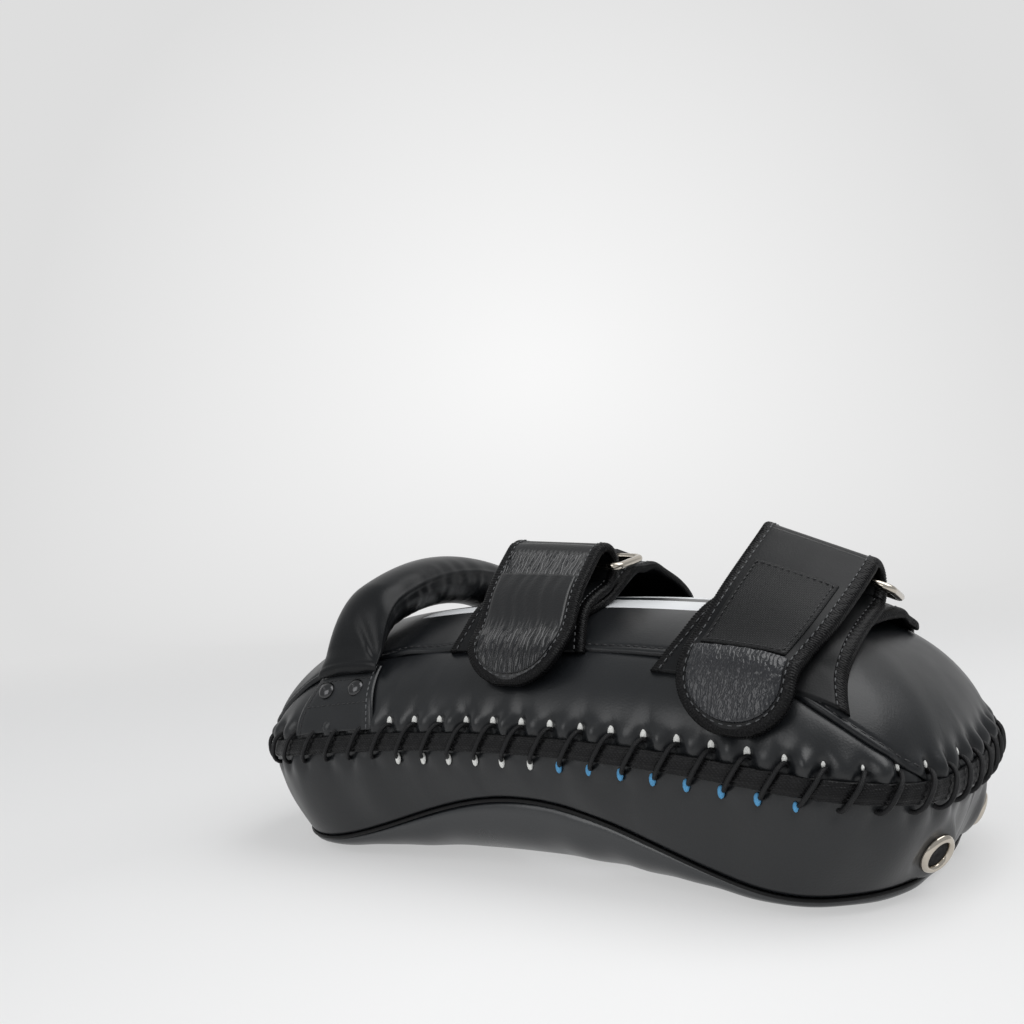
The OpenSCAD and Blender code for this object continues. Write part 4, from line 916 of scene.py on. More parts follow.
def stitch_row(name, line, normal, material, length, spacing, radius):
    """Stitches along a line on a surface: bars whose ends taper into the leather."""
    both = resample(np.hstack((line, normal)), spacing)
    place = both[:, :3]
    axes = surface_axes(np.gradient(place, axis=0), unit(both[:, 3:]))
    girth, turn = STITCH_GIRTH[:, None] * radius, turns(STITCH_SIDES)
    bar = points_of(STITCH_ALONG[:, None] * length, girth * np.cos(turn), girth * np.sin(turn))
    faces = tube_faces(len(STITCH_ALONG), STITCH_SIDES, True)
    return copies(name, bar.reshape(-1, 3), faces, place, axes, material)


def thread_material(name, colour):
    """Bonded thread: a tight twist across a slightly glossy fibre."""
    material, tree, shader = start_material(name)
    place = add_node(tree, "TexCoord", out="Object")
    twist = add_node(
        tree, "TexWave", {"Vector": place, "Scale": 2 * np.pi / (20 * THREAD_TWIST * MM)}, "Fac",
        bands_direction="DIAGONAL")
    bump = add_node(tree, "Bump", {"Strength": 0.4, "Distance": 0.1 * MM, "Height": twist})
    feed(shader, {"Base Color": linear(colour), "Normal": bump, "Roughness": 0.4})
    return material


black_thread = thread_material("black_bonded_thread", "#1c1c1e")
# The grey thread is partly the stitches' own grey and partly painted glints of shiny thread.
grey_thread_and_glint = thread_material("grey_bonded_thread_and_glint", "#525355")
lip_row = np.argmin(np.abs(from_lip - TOPSTITCH), axis=0)
lip_line = centre_lifted[lip_row, np.arange(COLUMNS)]
lip_normal = normals_of(centre_lifted, True)[lip_row, np.arange(COLUMNS)]
for name, start in HALVES:
    columns = np.arange(start + SEAM_START, start + COLUMNS // 2 - SEAM_START)
    row = stitch_row(
        "back_seam_stitches_" + name, lip_line[columns], lip_normal[columns], black_thread,
        *LIP_STITCH)
    fit(row, "case", "case_leather")

# Hand grip: a leather sleeve sewn round a foam core, a fat arch over the back near the hand end.
# Its ends are folded flat on the tabs, where the real grip bends when it leans; here the sleeve is
# baked in place. Its seam runs along one side.
GRIP_WIDTH, GRIP_THICKNESS, GRIP_GAP, GRIP_ARC = 38.0, 28.5, 4.5, 92.0
GRIP_FOOT_WIDTH, GRIP_FOOT_THICKNESS, GRIP_FOOT_ANGLE, GRIP_FILL = 42.0, 6.0, 36.0, 24.0
GRIP_LAP, GRIP_ROLL, TAB_REST, TAB_THICKNESS, TAB_RUN_OUT = 3.0, 3.0, 0.5, 2.4, 6.0
GRIP_ROWS, GRIP_SIDES, GRIP_SEAM_TURN = 176, 64, np.radians(12)
GRIP_FILL_POWER, GRIP_END_OPEN, UNEVEN_RUN = 0.6, 0.02, 17
GRIP_LIP, GRIP_GROOVE, GRIP_GATHER, GRIP_CREASE, GRIP_UNEVEN = 1.0, 0.7, 0.16, 0.22, 0.4
GRIP_LIP_WIDTH, GRIP_GROOVE_OFF, GRIP_GROOVE_WIDTH = 0.07, 0.19, 0.12
GATHER_WAVE, FINE_GATHER_WAVE, CREASE_WAVE = (11, 1.3, 9), (6.3, 2, 14), (13, 1.7, 11)
GATHER_FADE, GATHER_END, GATHER_END_FADE, CREASE_OFF, CREASE_WIDTH = 0.25, 1.7, 0.6, 0.25, 0.3
PINCH_RIDGE, PINCH_RIDGE_OFF, PINCH_RIDGE_WIDTH = 0.8, 0.34, 0.2
PINCH_FOLD, PINCH_FOLD_WIDTH, PINCH_OFF, PINCH_SLANT = 1.3, 0.17, 0.15, 0.075
PINCH_RISE, PINCH_END, PINCH_END_FADE = 3, 16, 9


def back_level(x, y):
    """Height of the back over a point: the edge's height plus a rounded half ellipse."""
    past = np.maximum(0, np.abs(x) - (HALF_LENGTH - BACK_END_ROUND)) / BACK_END_ROUND
    round_end, round_side = (np.sqrt(np.maximum(0, 1 - t ** 2)) for t in (past, y / HALF_WIDTH))
    return edge_level(x) + BACK_RISE * round_end * round_side


def out_of_back(angle):
    """Y and Z of the back's outward direction at an angle in degrees from its near edge."""
    angle = np.radians(angle)
    y, z = -np.cos(angle) / HALF_WIDTH, np.sin(angle) / BACK_RISE
    return y / np.hypot(y, z), z / np.hypot(y, z)


def over_back(x, angle, off, step=0.0):
    """Y and Z of a place over the back at an angle in degrees from its near edge, off along the
    outward direction, at a step along the pad from x that follows the back's slope."""
    foot = -HALF_WIDTH * np.cos(np.radians(angle))
    out_y, out_z = out_of_back(angle)
    return foot + off * out_y, back_level(x + step, foot) + off * out_z


def wavy(run, length, wobble, wobble_run):
    """A sine along a run, whose phase itself wobbles in a longer sine."""
    return np.sin(2 * np.pi * run / length + wobble * np.sin(run / wobble_run))


grip_leather = leather_material(
    "garment_synthetic_leather", "#0d0e10", "#141618", 1.0, 0.30, 0.24)
way = np.linspace(-1, 1, GRIP_ROWS)[:, None]
angle = 90 + (90 - GRIP_FOOT_ANGLE + GRIP_LAP) * (way + np.sin(np.pi / 2 * way)) / 2
turn = turns(GRIP_SIDES)
from_foot = np.minimum(angle, 180 - angle) - GRIP_FOOT_ANGLE
fill = ease(from_foot / GRIP_FILL)
rolled = np.clip((from_foot + GRIP_LAP) / GRIP_ROLL, GRIP_END_OPEN, 1)
half_width = (GRIP_FOOT_WIDTH + (GRIP_WIDTH - GRIP_FOOT_WIDTH) * fill) / 2
plump = (GRIP_THICKNESS - GRIP_FOOT_THICKNESS) * fill ** GRIP_FILL_POWER
half_thick = (GRIP_FOOT_THICKNESS + plump) / 2 * np.sqrt(1 - (1 - rolled) ** 2)
off = half_thick + TAB_REST + TAB_THICKNESS * (1 - ease(from_foot / TAB_RUN_OUT))
off = off + (GRIP_GAP - TAB_REST) * fill

# The sleeve's seam stands as a lip over a groove. Gathers run from it round the underside, creases
# cross it above, and each foot has a pinched fold that runs out from the seam.
run = np.radians(angle) * GRIP_ARC
from_seam = np.mod(turn - GRIP_SEAM_TURN + np.pi, 2 * np.pi) - np.pi
lip = GRIP_LIP * bell(from_seam / GRIP_LIP_WIDTH)
lip = lip - GRIP_GROOVE * bell((from_seam + GRIP_GROOVE_OFF) / GRIP_GROOVE_WIDTH)
gather = wavy(run, *GATHER_WAVE) + 0.5 * wavy(run, *FINE_GATHER_WAVE)
gather = gather * ease(-from_seam / GATHER_FADE) * ease((GATHER_END + from_seam) / GATHER_END_FADE)
crease = bell((from_seam - CREASE_OFF) / CREASE_WIDTH) * wavy(run, *CREASE_WAVE)
from_pinch = from_seam - PINCH_OFF - PINCH_SLANT * from_foot
pinch = PINCH_RIDGE * bell((from_pinch - PINCH_RIDGE_OFF) / PINCH_RIDGE_WIDTH)
pinch = pinch - PINCH_FOLD * bell(from_pinch / PINCH_FOLD_WIDTH)
stand = fill * (lip - GRIP_GATHER * gather - GRIP_CREASE * crease)
pinched = ease(from_foot / PINCH_RISE) * ease((PINCH_END - from_foot) / PINCH_END_FADE)
stand = stand + pinched * pinch
stand = stand + GRIP_UNEVEN * fill * np.sin(run / UNEVEN_RUN + 2 * np.cos(turn))
step = (half_width + stand) * np.cos(turn)
height = off + (half_thick + stand) * np.sin(turn)
grip_grid = points_of(GRIP_X + step, *over_back(GRIP_X, angle, height, step))
grip = tube_piece("hand_grip_sleeve", grip_grid, grip_leather)
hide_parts("grip_sleeve", "grip_necks")
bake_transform(grip)

# Grip tabs: the flat feet of the grip, cut from two layers of leather, sewn round their edge and
# across, held by two rivets each, and caught under the lacing at the bottom.
TAB_LOW, TAB_HIGH, TAB_WIDTH = 6.0, 37.0, 56.0
TAB_ROWS, TAB_ACROSS, UPPER_ROW, LOWER_ROW, SEWN_IN = 40, 28, 31, 16, 2
TAB_EDGE, TAB_EDGE_THIN, TAB_PRESS, TAB_UNEVEN = 0.07, 0.25, 0.35, 0.25
TAB_SEAM, TAB_SEAM_WIDTH, TAB_STITCH = 0.86, 0.04, (2.4, 3.4, 0.4)
MIRROR_Y = np.array((1, -1, 1.0))


def slab_loop(columns):
    """A flat closed loop round a strip: shares across from -1 to 1, on top (1) and below (-1)."""
    shares = np.linspace(-1, 1, columns)
    return np.concatenate((shares, shares[::-1])), np.repeat((1.0, -1.0), columns)


shares, face = slab_loop(TAB_ACROSS)
angle = np.linspace(TAB_LOW, TAB_HIGH, TAB_ROWS)[:, None]
taper = ease((angle - TAB_LOW) / (TAB_HIGH - TAB_LOW))
step = (TAB_WIDTH + (GRIP_FOOT_WIDTH - TAB_WIDTH) * taper) / 2 * shares
past_flat = np.maximum(0, np.abs(shares) - 1 + TAB_EDGE) / TAB_EDGE
edge_round = np.sqrt(np.maximum(0, 1 - past_flat ** 2))
press = TAB_UNEVEN * np.sin(3 * shares + angle / 4)
press = press - TAB_PRESS * bell((np.abs(shares) - TAB_SEAM) / TAB_SEAM_WIDTH)
height = 1 + face * (TAB_EDGE_THIN + (1 - TAB_EDGE_THIN) * edge_round)
height = TAB_REST + TAB_THICKNESS / 2 * height + (face > 0) * press
tab_grid = points_of(GRIP_X + step, *over_back(GRIP_X, angle, height, step))
top_normal = normals_of(tab_grid[:, :TAB_ACROSS])
down, over_tab = np.arange(TAB_ROWS), np.arange(SEWN_IN, TAB_ACROSS - SEWN_IN)
for name, flip in (("near", np.ones(3)), ("far", MIRROR_Y)):
    tab = tube_piece("grip_tab_leather_" + name, tab_grid * flip, case_leather)
    fit(tab, "case", "case_leather", "grip_tab_" + name)
    # The right-hand row is sewn in grey thread and the others in black: a painted highlight along
    # the tab's right edge, where the light falls.
    for part, rows, columns, thread in (
            ("left", down, SEWN_IN, black_thread),
            ("right", down, TAB_ACROSS - 1 - SEWN_IN, grey_thread_and_glint),
            ("upper", UPPER_ROW, over_tab, black_thread),
            ("lower", LOWER_ROW, over_tab, black_thread)):
        row = stitch_row(
            f"grip_tab_stitches_{part}_{name}", tab_grid[rows, columns] * flip,
            top_normal[rows, columns] * flip, thread, *TAB_STITCH)
        fit(row, "case", "case_leather")

# Rivets: four domed caps of black nickel over the tabs, two on each, set through the leather onto
# burrs inside the case.
RIVET_PROFILE = np.array((
    (0.02, -6.0), (1.5, -6.0), (1.5, -0.2), (4.9, -0.2), (5.0, 0.3), (4.7, 0.95), (4.0, 1.6),
    (2.9, 2.15), (1.5, 2.5), (0.02, 2.6)))
RIVET_ANGLE, RIVET_SPACING, RIVET_SIDES = 26.0, 21.0, 28
step = np.array((-0.5, 0.5)) * RIVET_SPACING
rivet_place = points_of(
    GRIP_X + step, *over_back(GRIP_X, RIVET_ANGLE, TAB_REST + TAB_THICKNESS, step))
rivet_out = points_of(0 * step, *out_of_back(RIVET_ANGLE))
rivet_place, rivet_out = (np.vstack((near, near * MIRROR_Y)) for near in (rivet_place, rivet_out))
rivet_axes = surface_axes(np.array((1.0, 0, 0)), rivet_out)
rivets = copies(
    "grip_rivet_caps", *lathe(RIVET_PROFILE, RIVET_SIDES), rivet_place, rivet_axes, black_nickel)
fit(rivets, "case", "black_rivet", "grip_rivets")

# Straps: each is sewn at the near back seam, passes through its ring and folds back on itself, so
# that its tongue lies on it with hook and loop between. A flap from the far seam holds the ring.
STRAP_THICKNESS, BINDING, BINDING_LOOK, RIB, RIB_RISE = 4.0, 5.0, 6.4, 1.3, 0.2
STRAP_LOW, STRAP_HIGH = -STRAP_THICKNESS / 2, STRAP_THICKNESS / 2
STRAP_REST, SEWN_REST, TONGUE_OFF = 3.0, 0.6, 11.5
FOLD_MIDDLE, FOLD_LEAN = 10.0, 25.0
FLAP_FLARE, FLARE_POWER, FLAP_CLEAR = 16.0, 1.6, 1.1
TIP_SHARE, TIP_TURN = 0.46, np.radians(np.linspace(8, 90, 22))
LEATHER_INSET, FACING_INSET, FACING_THICKNESS, FACING_PAST_TIP = 2.2, BINDING + 0.2, 1.0, 6.0
BAND_GRAIN = ("drum_creased_band_wrist", 2.5, 8.0, 0.55, 0.9, "#0d0e10", "#18191c")
BAND_LENGTH, BAND_FADE = 17, 5
STRAP_CROWN, TONGUE_CROWN, PATCH_CROWN = 0.5, 0.6, 0.5
STRAP_WRINKLES, FACING_WRINKLES = (0.4, 71), (0.35, 83)
WRINKLES, WRINKLE_LENGTHS, WRINKLE_SLANTS, WRINKLE_SWAY = 7, (5, 13), (-0.5, 0.5), (2, 7)
CURVE_STEPS, FOLD_STEPS, SIDE_EDGE_STEPS, TIP_STEPS = 24, 60, 60, 90
BINDING_SIDES, BINDING_SQUARE, RIB_FADE, RIB_START = 18, 0.7, 0.6, 0.4
RING_SPAN, RING_WIRE, RING_BEND, RING_ROOM, RING_SIDES = 27.0, 2.0, 4.0, 6.0, 14
RING_CORNER_STEPS, RING_TAB_TURN, RING_TAB_ALONG, RING_TAB_ACROSS = 9, 16, 8, 24
RING_TAB_ROUND, RING_TAB_TAIL, RING_TAB_DROP, RING_TAB_WALL = 4.3, 22.0, 8.0, 2.0
RING_TAB_INSET, RING_TAB_HOLLOW, RING_TAB_TAIL_FROM = 8.5, 3.3, 0.1
NAP_INSET, NAP_NEAR, NAP_FAR, HOOK_RUN, LOOP_START, LOOP_SHARE = 8.0, 0.1, 1.5, (2, 28), 3, 0.55
PATCH_WIDTH, PATCH_LENGTH, PATCH_THICKNESS, PATCH_SEWN_IN, PATCH_GAP = 42.0, 52.0, 1.3, 1.8, 2.0
STRAP_ROWS, FOLD_ROWS, TONGUE_ROWS, FACING_ROWS, NAP_ROWS, PATCH_ROWS = 70, 40, 64, 40, 20, 30
STRAP_STITCH, FOLD_STITCH = (2.2, 4.0, 0.3), (2.4, 4.0, 0.36)
TONGUE_STITCH, PATCH_STITCH, PATCH_SEAM_RISE = (2.4, 4.2, 0.32), (2.2, 3.2, 0.34), 0.45
# A binding's seam: how far it lies in from the edge and over the middle of the strap.
SIDE_SEAM, TONGUE_SEAM = (BINDING - 1.0, BINDING / 2 - 0.1), (BINDING - 0.9, BINDING / 2 - 0.05)
# Points of the paths over the back, each an angle, a height and a lift, and the straight runs into
# the fold.
STRAP_UP = ((48, STRAP_REST + 0.4, 0.1), (60, STRAP_REST + 6.8, 0.5))
TONGUE_UP = ((36, TONGUE_OFF - 1, 0), (47, TONGUE_OFF, 0.15), (60, TONGUE_OFF + 7.8, 0.6))
FLAP_START, FLAP_END, FLAP_LIFT = (63.5, STRAP_REST + 1.2, 0.15), (135, SEWN_REST, 0), 0.75
STRAP_LEAD, TONGUE_LEAD, TIP_REST = 7, 6, STRAP_REST + 2.2
# Each path's heights stand over the back by angle, and a slant shifts the strap along the pad. The
# grain is the facing's leather, as creased_material takes it.
STRAPS = (
    dict(name="wrist", x=-10.218, width=56.0, tilt=np.radians(4), slope=np.radians(6),
         fold_y=-20.0, fold_height=22.5, sewn=42.5, strap_slant=0.0, flare=24.0,
         tip=24.0, tongue_slant=8.0, flap_pass=3.6,
         flap_arch=((112, 16.5, 0.6), (121, 13.5, 0.4), (129, 9.0, 0.2)),
         facing=0.71, facing_crown=0.5,
         grain=("drum_creased_synthetic_leather", 2.7, 9.0, 0.55, 0.9, "#0d0e10", "#18191c",
                0, 22, 20)),
    dict(name="forearm", x=130.494, width=57.0, tilt=np.radians(21), slope=np.radians(-16),
         fold_y=-10.0, fold_height=25.0, sewn=36.0, strap_slant=-15.0, flare=40.0,
         tip=14.0, tongue_slant=-16.0, flap_pass=2.7,
         flap_arch=((119, 8.0, 0.55), (127, 7.5, 0.25)),
         facing=0.32, facing_crown=1.8,
         # The forearm facing's colours are paler than the strap leather's: painted sheen for the
         # broad gloss on its puffed tip.
         grain=("milled_synthetic_leather", 2.0, 2.6, 0.22, 1.0, "#202124", "#26272a", 0, 60, 5)),
)


def creased_material(name, across, along, depth, fork, dark, pale, start, end, fade):
    """Soft leather creased in a drum: ridges of a width and depth in mm that run along the strap,
    wander and fork within a length in mm, by a share, and fade to smooth leather past two runs."""
    material, tree, shader = start_material(name)
    lay = add_node(tree, "UVMap")
    stretched = add_node(tree, "Mapping", {"Vector": lay, "Scale": (1.0, across / along, 1.0)})
    ridges = add_node(
        tree, "TexWave",
        {"Vector": stretched, "Scale": 2 * np.pi / (20 * across), "Distortion": 7.0 * fork,
         "Detail": 2.0 * fork, "Detail Scale": 2.2 * fork}, "Fac")
    pebble = add_node(tree, "TexVoronoi", {"Vector": lay, "Scale": 1 / 1.1}, "Distance")
    run = add_node(tree, "SeparateXYZ", {0: lay}, "Y")
    rise, fall = (
        add_node(
            tree, "MapRange",
            {"Value": run, "From Min": low, "From Max": low + fade, "To Min": a, "To Max": 1 - a},
            interpolation_type="SMOOTHSTEP")
        for low, a in ((start - fade, 0.0), (end, 1.0)))
    zone = add_node(tree, "Math", {0: rise, 1: fall}, operation="MULTIPLY")
    drawn = add_node(tree, "Math", {0: ridges, 1: zone}, operation="MULTIPLY")
    relief = add_node(tree, "Math", {0: pebble, 1: 0.12, 2: drawn}, operation="MULTIPLY_ADD")
    # The ridges are coloured paler than the hollows: painted highlight on the ridges and painted
    # shade between them.
    tone = add_node(tree, "Mix", {0: drawn, 6: linear(dark), 7: linear(pale)}, 2, data_type="RGBA")
    gloss = add_node(tree, "MapRange", {"Value": zone, "To Min": 0.38, "To Max": 0.2})
    bump = add_node(tree, "Bump", {"Strength": 1.0, "Distance": depth * MM, "Height": relief})
    feed(shader, {"Base Color": tone, "Roughness": gloss, "Normal": bump})
    return material


def nap_material(name, colour, spacing, strength):
    """Hook or loop tape: rows of nylon hooks or a napped pile, matt and fibrous."""
    material, tree, shader = start_material(name)
    place = add_node(tree, "TexCoord", out="Object")
    pile = add_node(
        tree, "TexVoronoi", {"Vector": place, "Scale": 1 / (spacing * MM), "Randomness": 0.4},
        "Distance")
    fuzz = add_node(tree, "TexNoise", {"Vector": place, "Scale": 1 / (0.5 * MM)}, "Fac")
    relief = add_node(tree, "Math", {0: pile, 1: fuzz}, operation="ADD")
    bump = add_node(tree, "Bump", {"Strength": strength, "Distance": 0.5 * MM, "Height": relief})
    feed(shader, {
        "Base Color": linear(colour), "Normal": bump, "Roughness": 0.8, "Sheen Weight": 0.4})
    return material


def measured(line):
    """A line of Y, Z, lift and shift with the run along its Y and Z in front."""
    return np.column_stack((run_down(line[:, :2]), line))


def smooth_curve(points):
    """A measured Catmull-Rom curve through points of Y, Z, lift and shift, with clamped ends."""
    points = np.array(points, float)
    padded = np.vstack((points[:1], points, points[-1:]))
    t = (np.arange(CURVE_STEPS) / CURVE_STEPS)[:, None]
    p0, p1, p2, p3 = (padded[k:len(padded) - 3 + k, None] for k in range(4))
    line = 0.5 * (2 * p1 + (p2 - p0) * t + (2 * p0 - 5 * p1 + 4 * p2 - p3) * t ** 2
                  + (3 * p1 - p0 - 3 * p2 + p3) * t ** 3)
    return measured(np.vstack((line.reshape(-1, 4), points[-1:])))


def on_path(path, run):
    """Y, Z, lift and shift at runs along a measured path."""
    return np.stack([np.interp(run, path[:, 0], column) for column in path.T[1:]])


def strap_place(strap, path, step, run, off):
    """A place on a strap: a step along the pad from its middle, which shifts as the strap slants, a
    run along its path and a height over it. Where the strap lies on the back it follows the back's
    slope, and where it is lifted it follows the tilt of its ring."""
    y, z, lift, shift = on_path(path, run)
    ty, tz = (on_path(path, run + 1) - on_path(path, run - 1))[:2]
    size = np.hypot(ty, tz)
    x = strap["x"] + shift + step * np.cos(strap["tilt"])
    on_back = back_level(x, y) - back_level(strap["x"], y)
    slope = on_back + (-step * np.sin(strap["tilt"]) - on_back) * lift
    return points_of(x, y - off * tz / size, z + off * ty / size + slope)


def creased(step, run, amount, seed):
    """Wrinkles of soft leather: slanted waves along the strap with seeded lengths and phases, level
    at its edges."""
    draw = np.random.default_rng(seed)
    length, slant, phase = (
        draw.uniform(*reach, WRINKLES)
        for reach in (WRINKLE_LENGTHS, WRINKLE_SLANTS, (0, 2 * np.pi)))
    step, run = step[..., None], run[..., None]
    sway, sway_run = WRINKLE_SWAY
    across = step + slant * run + sway * np.sin(run / sway_run)
    waves = np.sin(across * 2 * np.pi / length + phase)
    edge = np.sqrt(np.clip(1 - (step[..., 0] / (np.abs(step).max() + 1e-6)) ** 2, 0, 1))
    return amount * waves.mean(-1) * edge


def strip(
        strap, part, path, runs, half, low, high, material, crown=0.0, wrinkles=(0, 0), columns=22):
    """A padded strip along a path between two heights: a flat closed loop at each run, crowned on
    top by a half ellipse, with a UV map of its width and run in mm."""
    shares, face = slab_loop(columns)
    runs = runs[:, None]
    step = np.broadcast_to(np.reshape(half, (-1, 1)), runs.shape) * shares
    top = high + crown * np.sqrt(np.maximum(0, 1 - shares ** 2)) + creased(step, runs, *wrinkles)
    grid = strap_place(strap, path, step, runs, np.where(face > 0, top, low))
    piece = tube_piece(f"{strap['name']}_{part}", grid, material)
    corner = np.zeros(len(piece.data.loops), np.int32)
    piece.data.loops.foreach_get("vertex_index", corner)
    lay = np.stack(np.broadcast_arrays(step, runs), axis=-1).reshape(-1, 2)[corner]
    layer = piece.data.uv_layers.new(name="width_and_run")
    layer.data.foreach_set("uv", lay.astype(np.float32).ravel())
    return piece


def bind(strap, part, path, edge, inward):
    """Tape bound round an edge: a rounded loop carried along the edge, with overcast ribs across
    its outer side, four steps to a rib."""
    line = resample(np.hstack((edge, inward)), RIB / 4)
    line[0, :2], line[-1, :2] = edge[0], edge[-1]
    place, inward = line[:, :2], unit(line[:, 2:])
    turn = turns(BINDING_SIDES)
    wave = np.sin(np.pi / 2 * np.arange(len(line)) + np.pi / 4)[:, None]
    wave = RIB_RISE * wave * ease(np.cos(turn) / RIB_FADE + RIB_START)
    inside = BINDING / 2 - square_off(np.cos(turn), BINDING_SQUARE) * (BINDING_LOOK / 2 + wave)
    thick = square_off(np.sin(turn), BINDING_SQUARE) * (BINDING / 2 + wave)
    step, run = (place[:, k, None] + inward[:, k, None] * inside for k in (0, 1))
    grid = strap_place(strap, path, step, run, thick)
    return tube_piece(f"{strap['name']}_{part}", grid, binding_woven)


def sewn_line(strap, path, place, off):
    """A line of steps and runs on a strap, with the strap's upward direction along it."""
    line, above = (strap_place(strap, path, *place.T, height) for height in (off, off + 1))
    return line, above - line


def bound_sides(strap, part, path, runs, half, face, stitch):
    """The binding and the row of stitches of each long edge of a strip, sewn on its upper face (1)
    or its lower one (-1)."""
    inset, off = SIDE_SEAM
    for side, label in ((-1, "left"), (1, "right")):
        edge = np.column_stack((side * half, runs))
        inward = np.broadcast_to((-side, 0.0), edge.shape)
        tape = bind(strap, f"{part}_binding_{label}", path, edge, inward)
        line, rise = sewn_line(strap, path, edge + inward * inset, face * off)
        row = stitch_row(
            f"{strap['name']}_{part}_stitches_{label}", line, face * rise, grey_thread_and_glint, *stitch)
        yield tape, row


def tongue_edge(whole, half, depth):
    """The edge of a tongue from the fold, round its tip and back: straight sides and half an
    ellipse, with the inward direction square to it."""
    straight = np.linspace(whole, depth, SIDE_EDGE_STEPS)
    turn = np.linspace(np.pi / 2, -np.pi / 2, TIP_STEPS)[1:-1]
    side = np.full(SIDE_EDGE_STEPS, half)
    step = np.concatenate((-side, -half * np.sin(turn), side))
    run = np.concatenate((straight, depth * (1 - np.cos(turn)), straight[::-1]))
    edge = np.column_stack((step, run))
    along = np.gradient(edge, axis=0)
    return edge, unit(np.column_stack((-along[:, 1], along[:, 0])))


def tongue_plan(start, depth, end, half, count):
    """Runs and half widths of a strip with a tongue's tip: half an ellipse, then straight sides."""
    tip = start + (depth - start) * (1 - np.cos(TIP_TURN))
    runs = np.concatenate((tip, np.linspace(depth, end, count)[1:]))
    return runs, np.concatenate((half * np.sin(TIP_TURN), np.full(count - 1, half)))


def lying(strap, slant, *points):
    """Points of a path over the back from angles, heights and lifts. The slant fades with lift."""
    return [
        (*over_back(strap["x"], angle, off), lift, slant * (1 - lift))
        for angle, off, lift in points]


def ring_points(strap, line):
    """Places in a ring's own plane, turned by its slope and its strap's tilt about the near bar."""
    slope, tilt, (fold_y, fold_z) = strap["slope"], strap["tilt"], strap["fold"]
    x, y, z = np.moveaxis(line, -1, 0)
    y, z = y * np.cos(slope) - z * np.sin(slope), y * np.sin(slope) + z * np.cos(slope)
    x, z = x * np.cos(tilt) + z * np.sin(tilt), z * np.cos(tilt) - x * np.sin(tilt)
    return points_of(strap["x"] + x, fold_y + y, fold_z + z)


strap_leather = leather_material("soft_synthetic_leather", "#0c0d0e", "#131416", 0.9, 0.36, 0.19)
binding_woven = woven_material("ribbed_polyester_binding", "#040405", "#0f0f11", 0.6, 0.35, 0.16)
patch_woven = woven_material("satin_woven_label_cloth", "#0a0b0c", "#131416", 0.35, 0.5, 0.3)
loop_pile = nap_material("nylon_loop_pile", "#1a1a1c", 1.2, 0.7)
hook_rows = nap_material("nylon_hook_rows", "#222224", 1.6, 0.9)

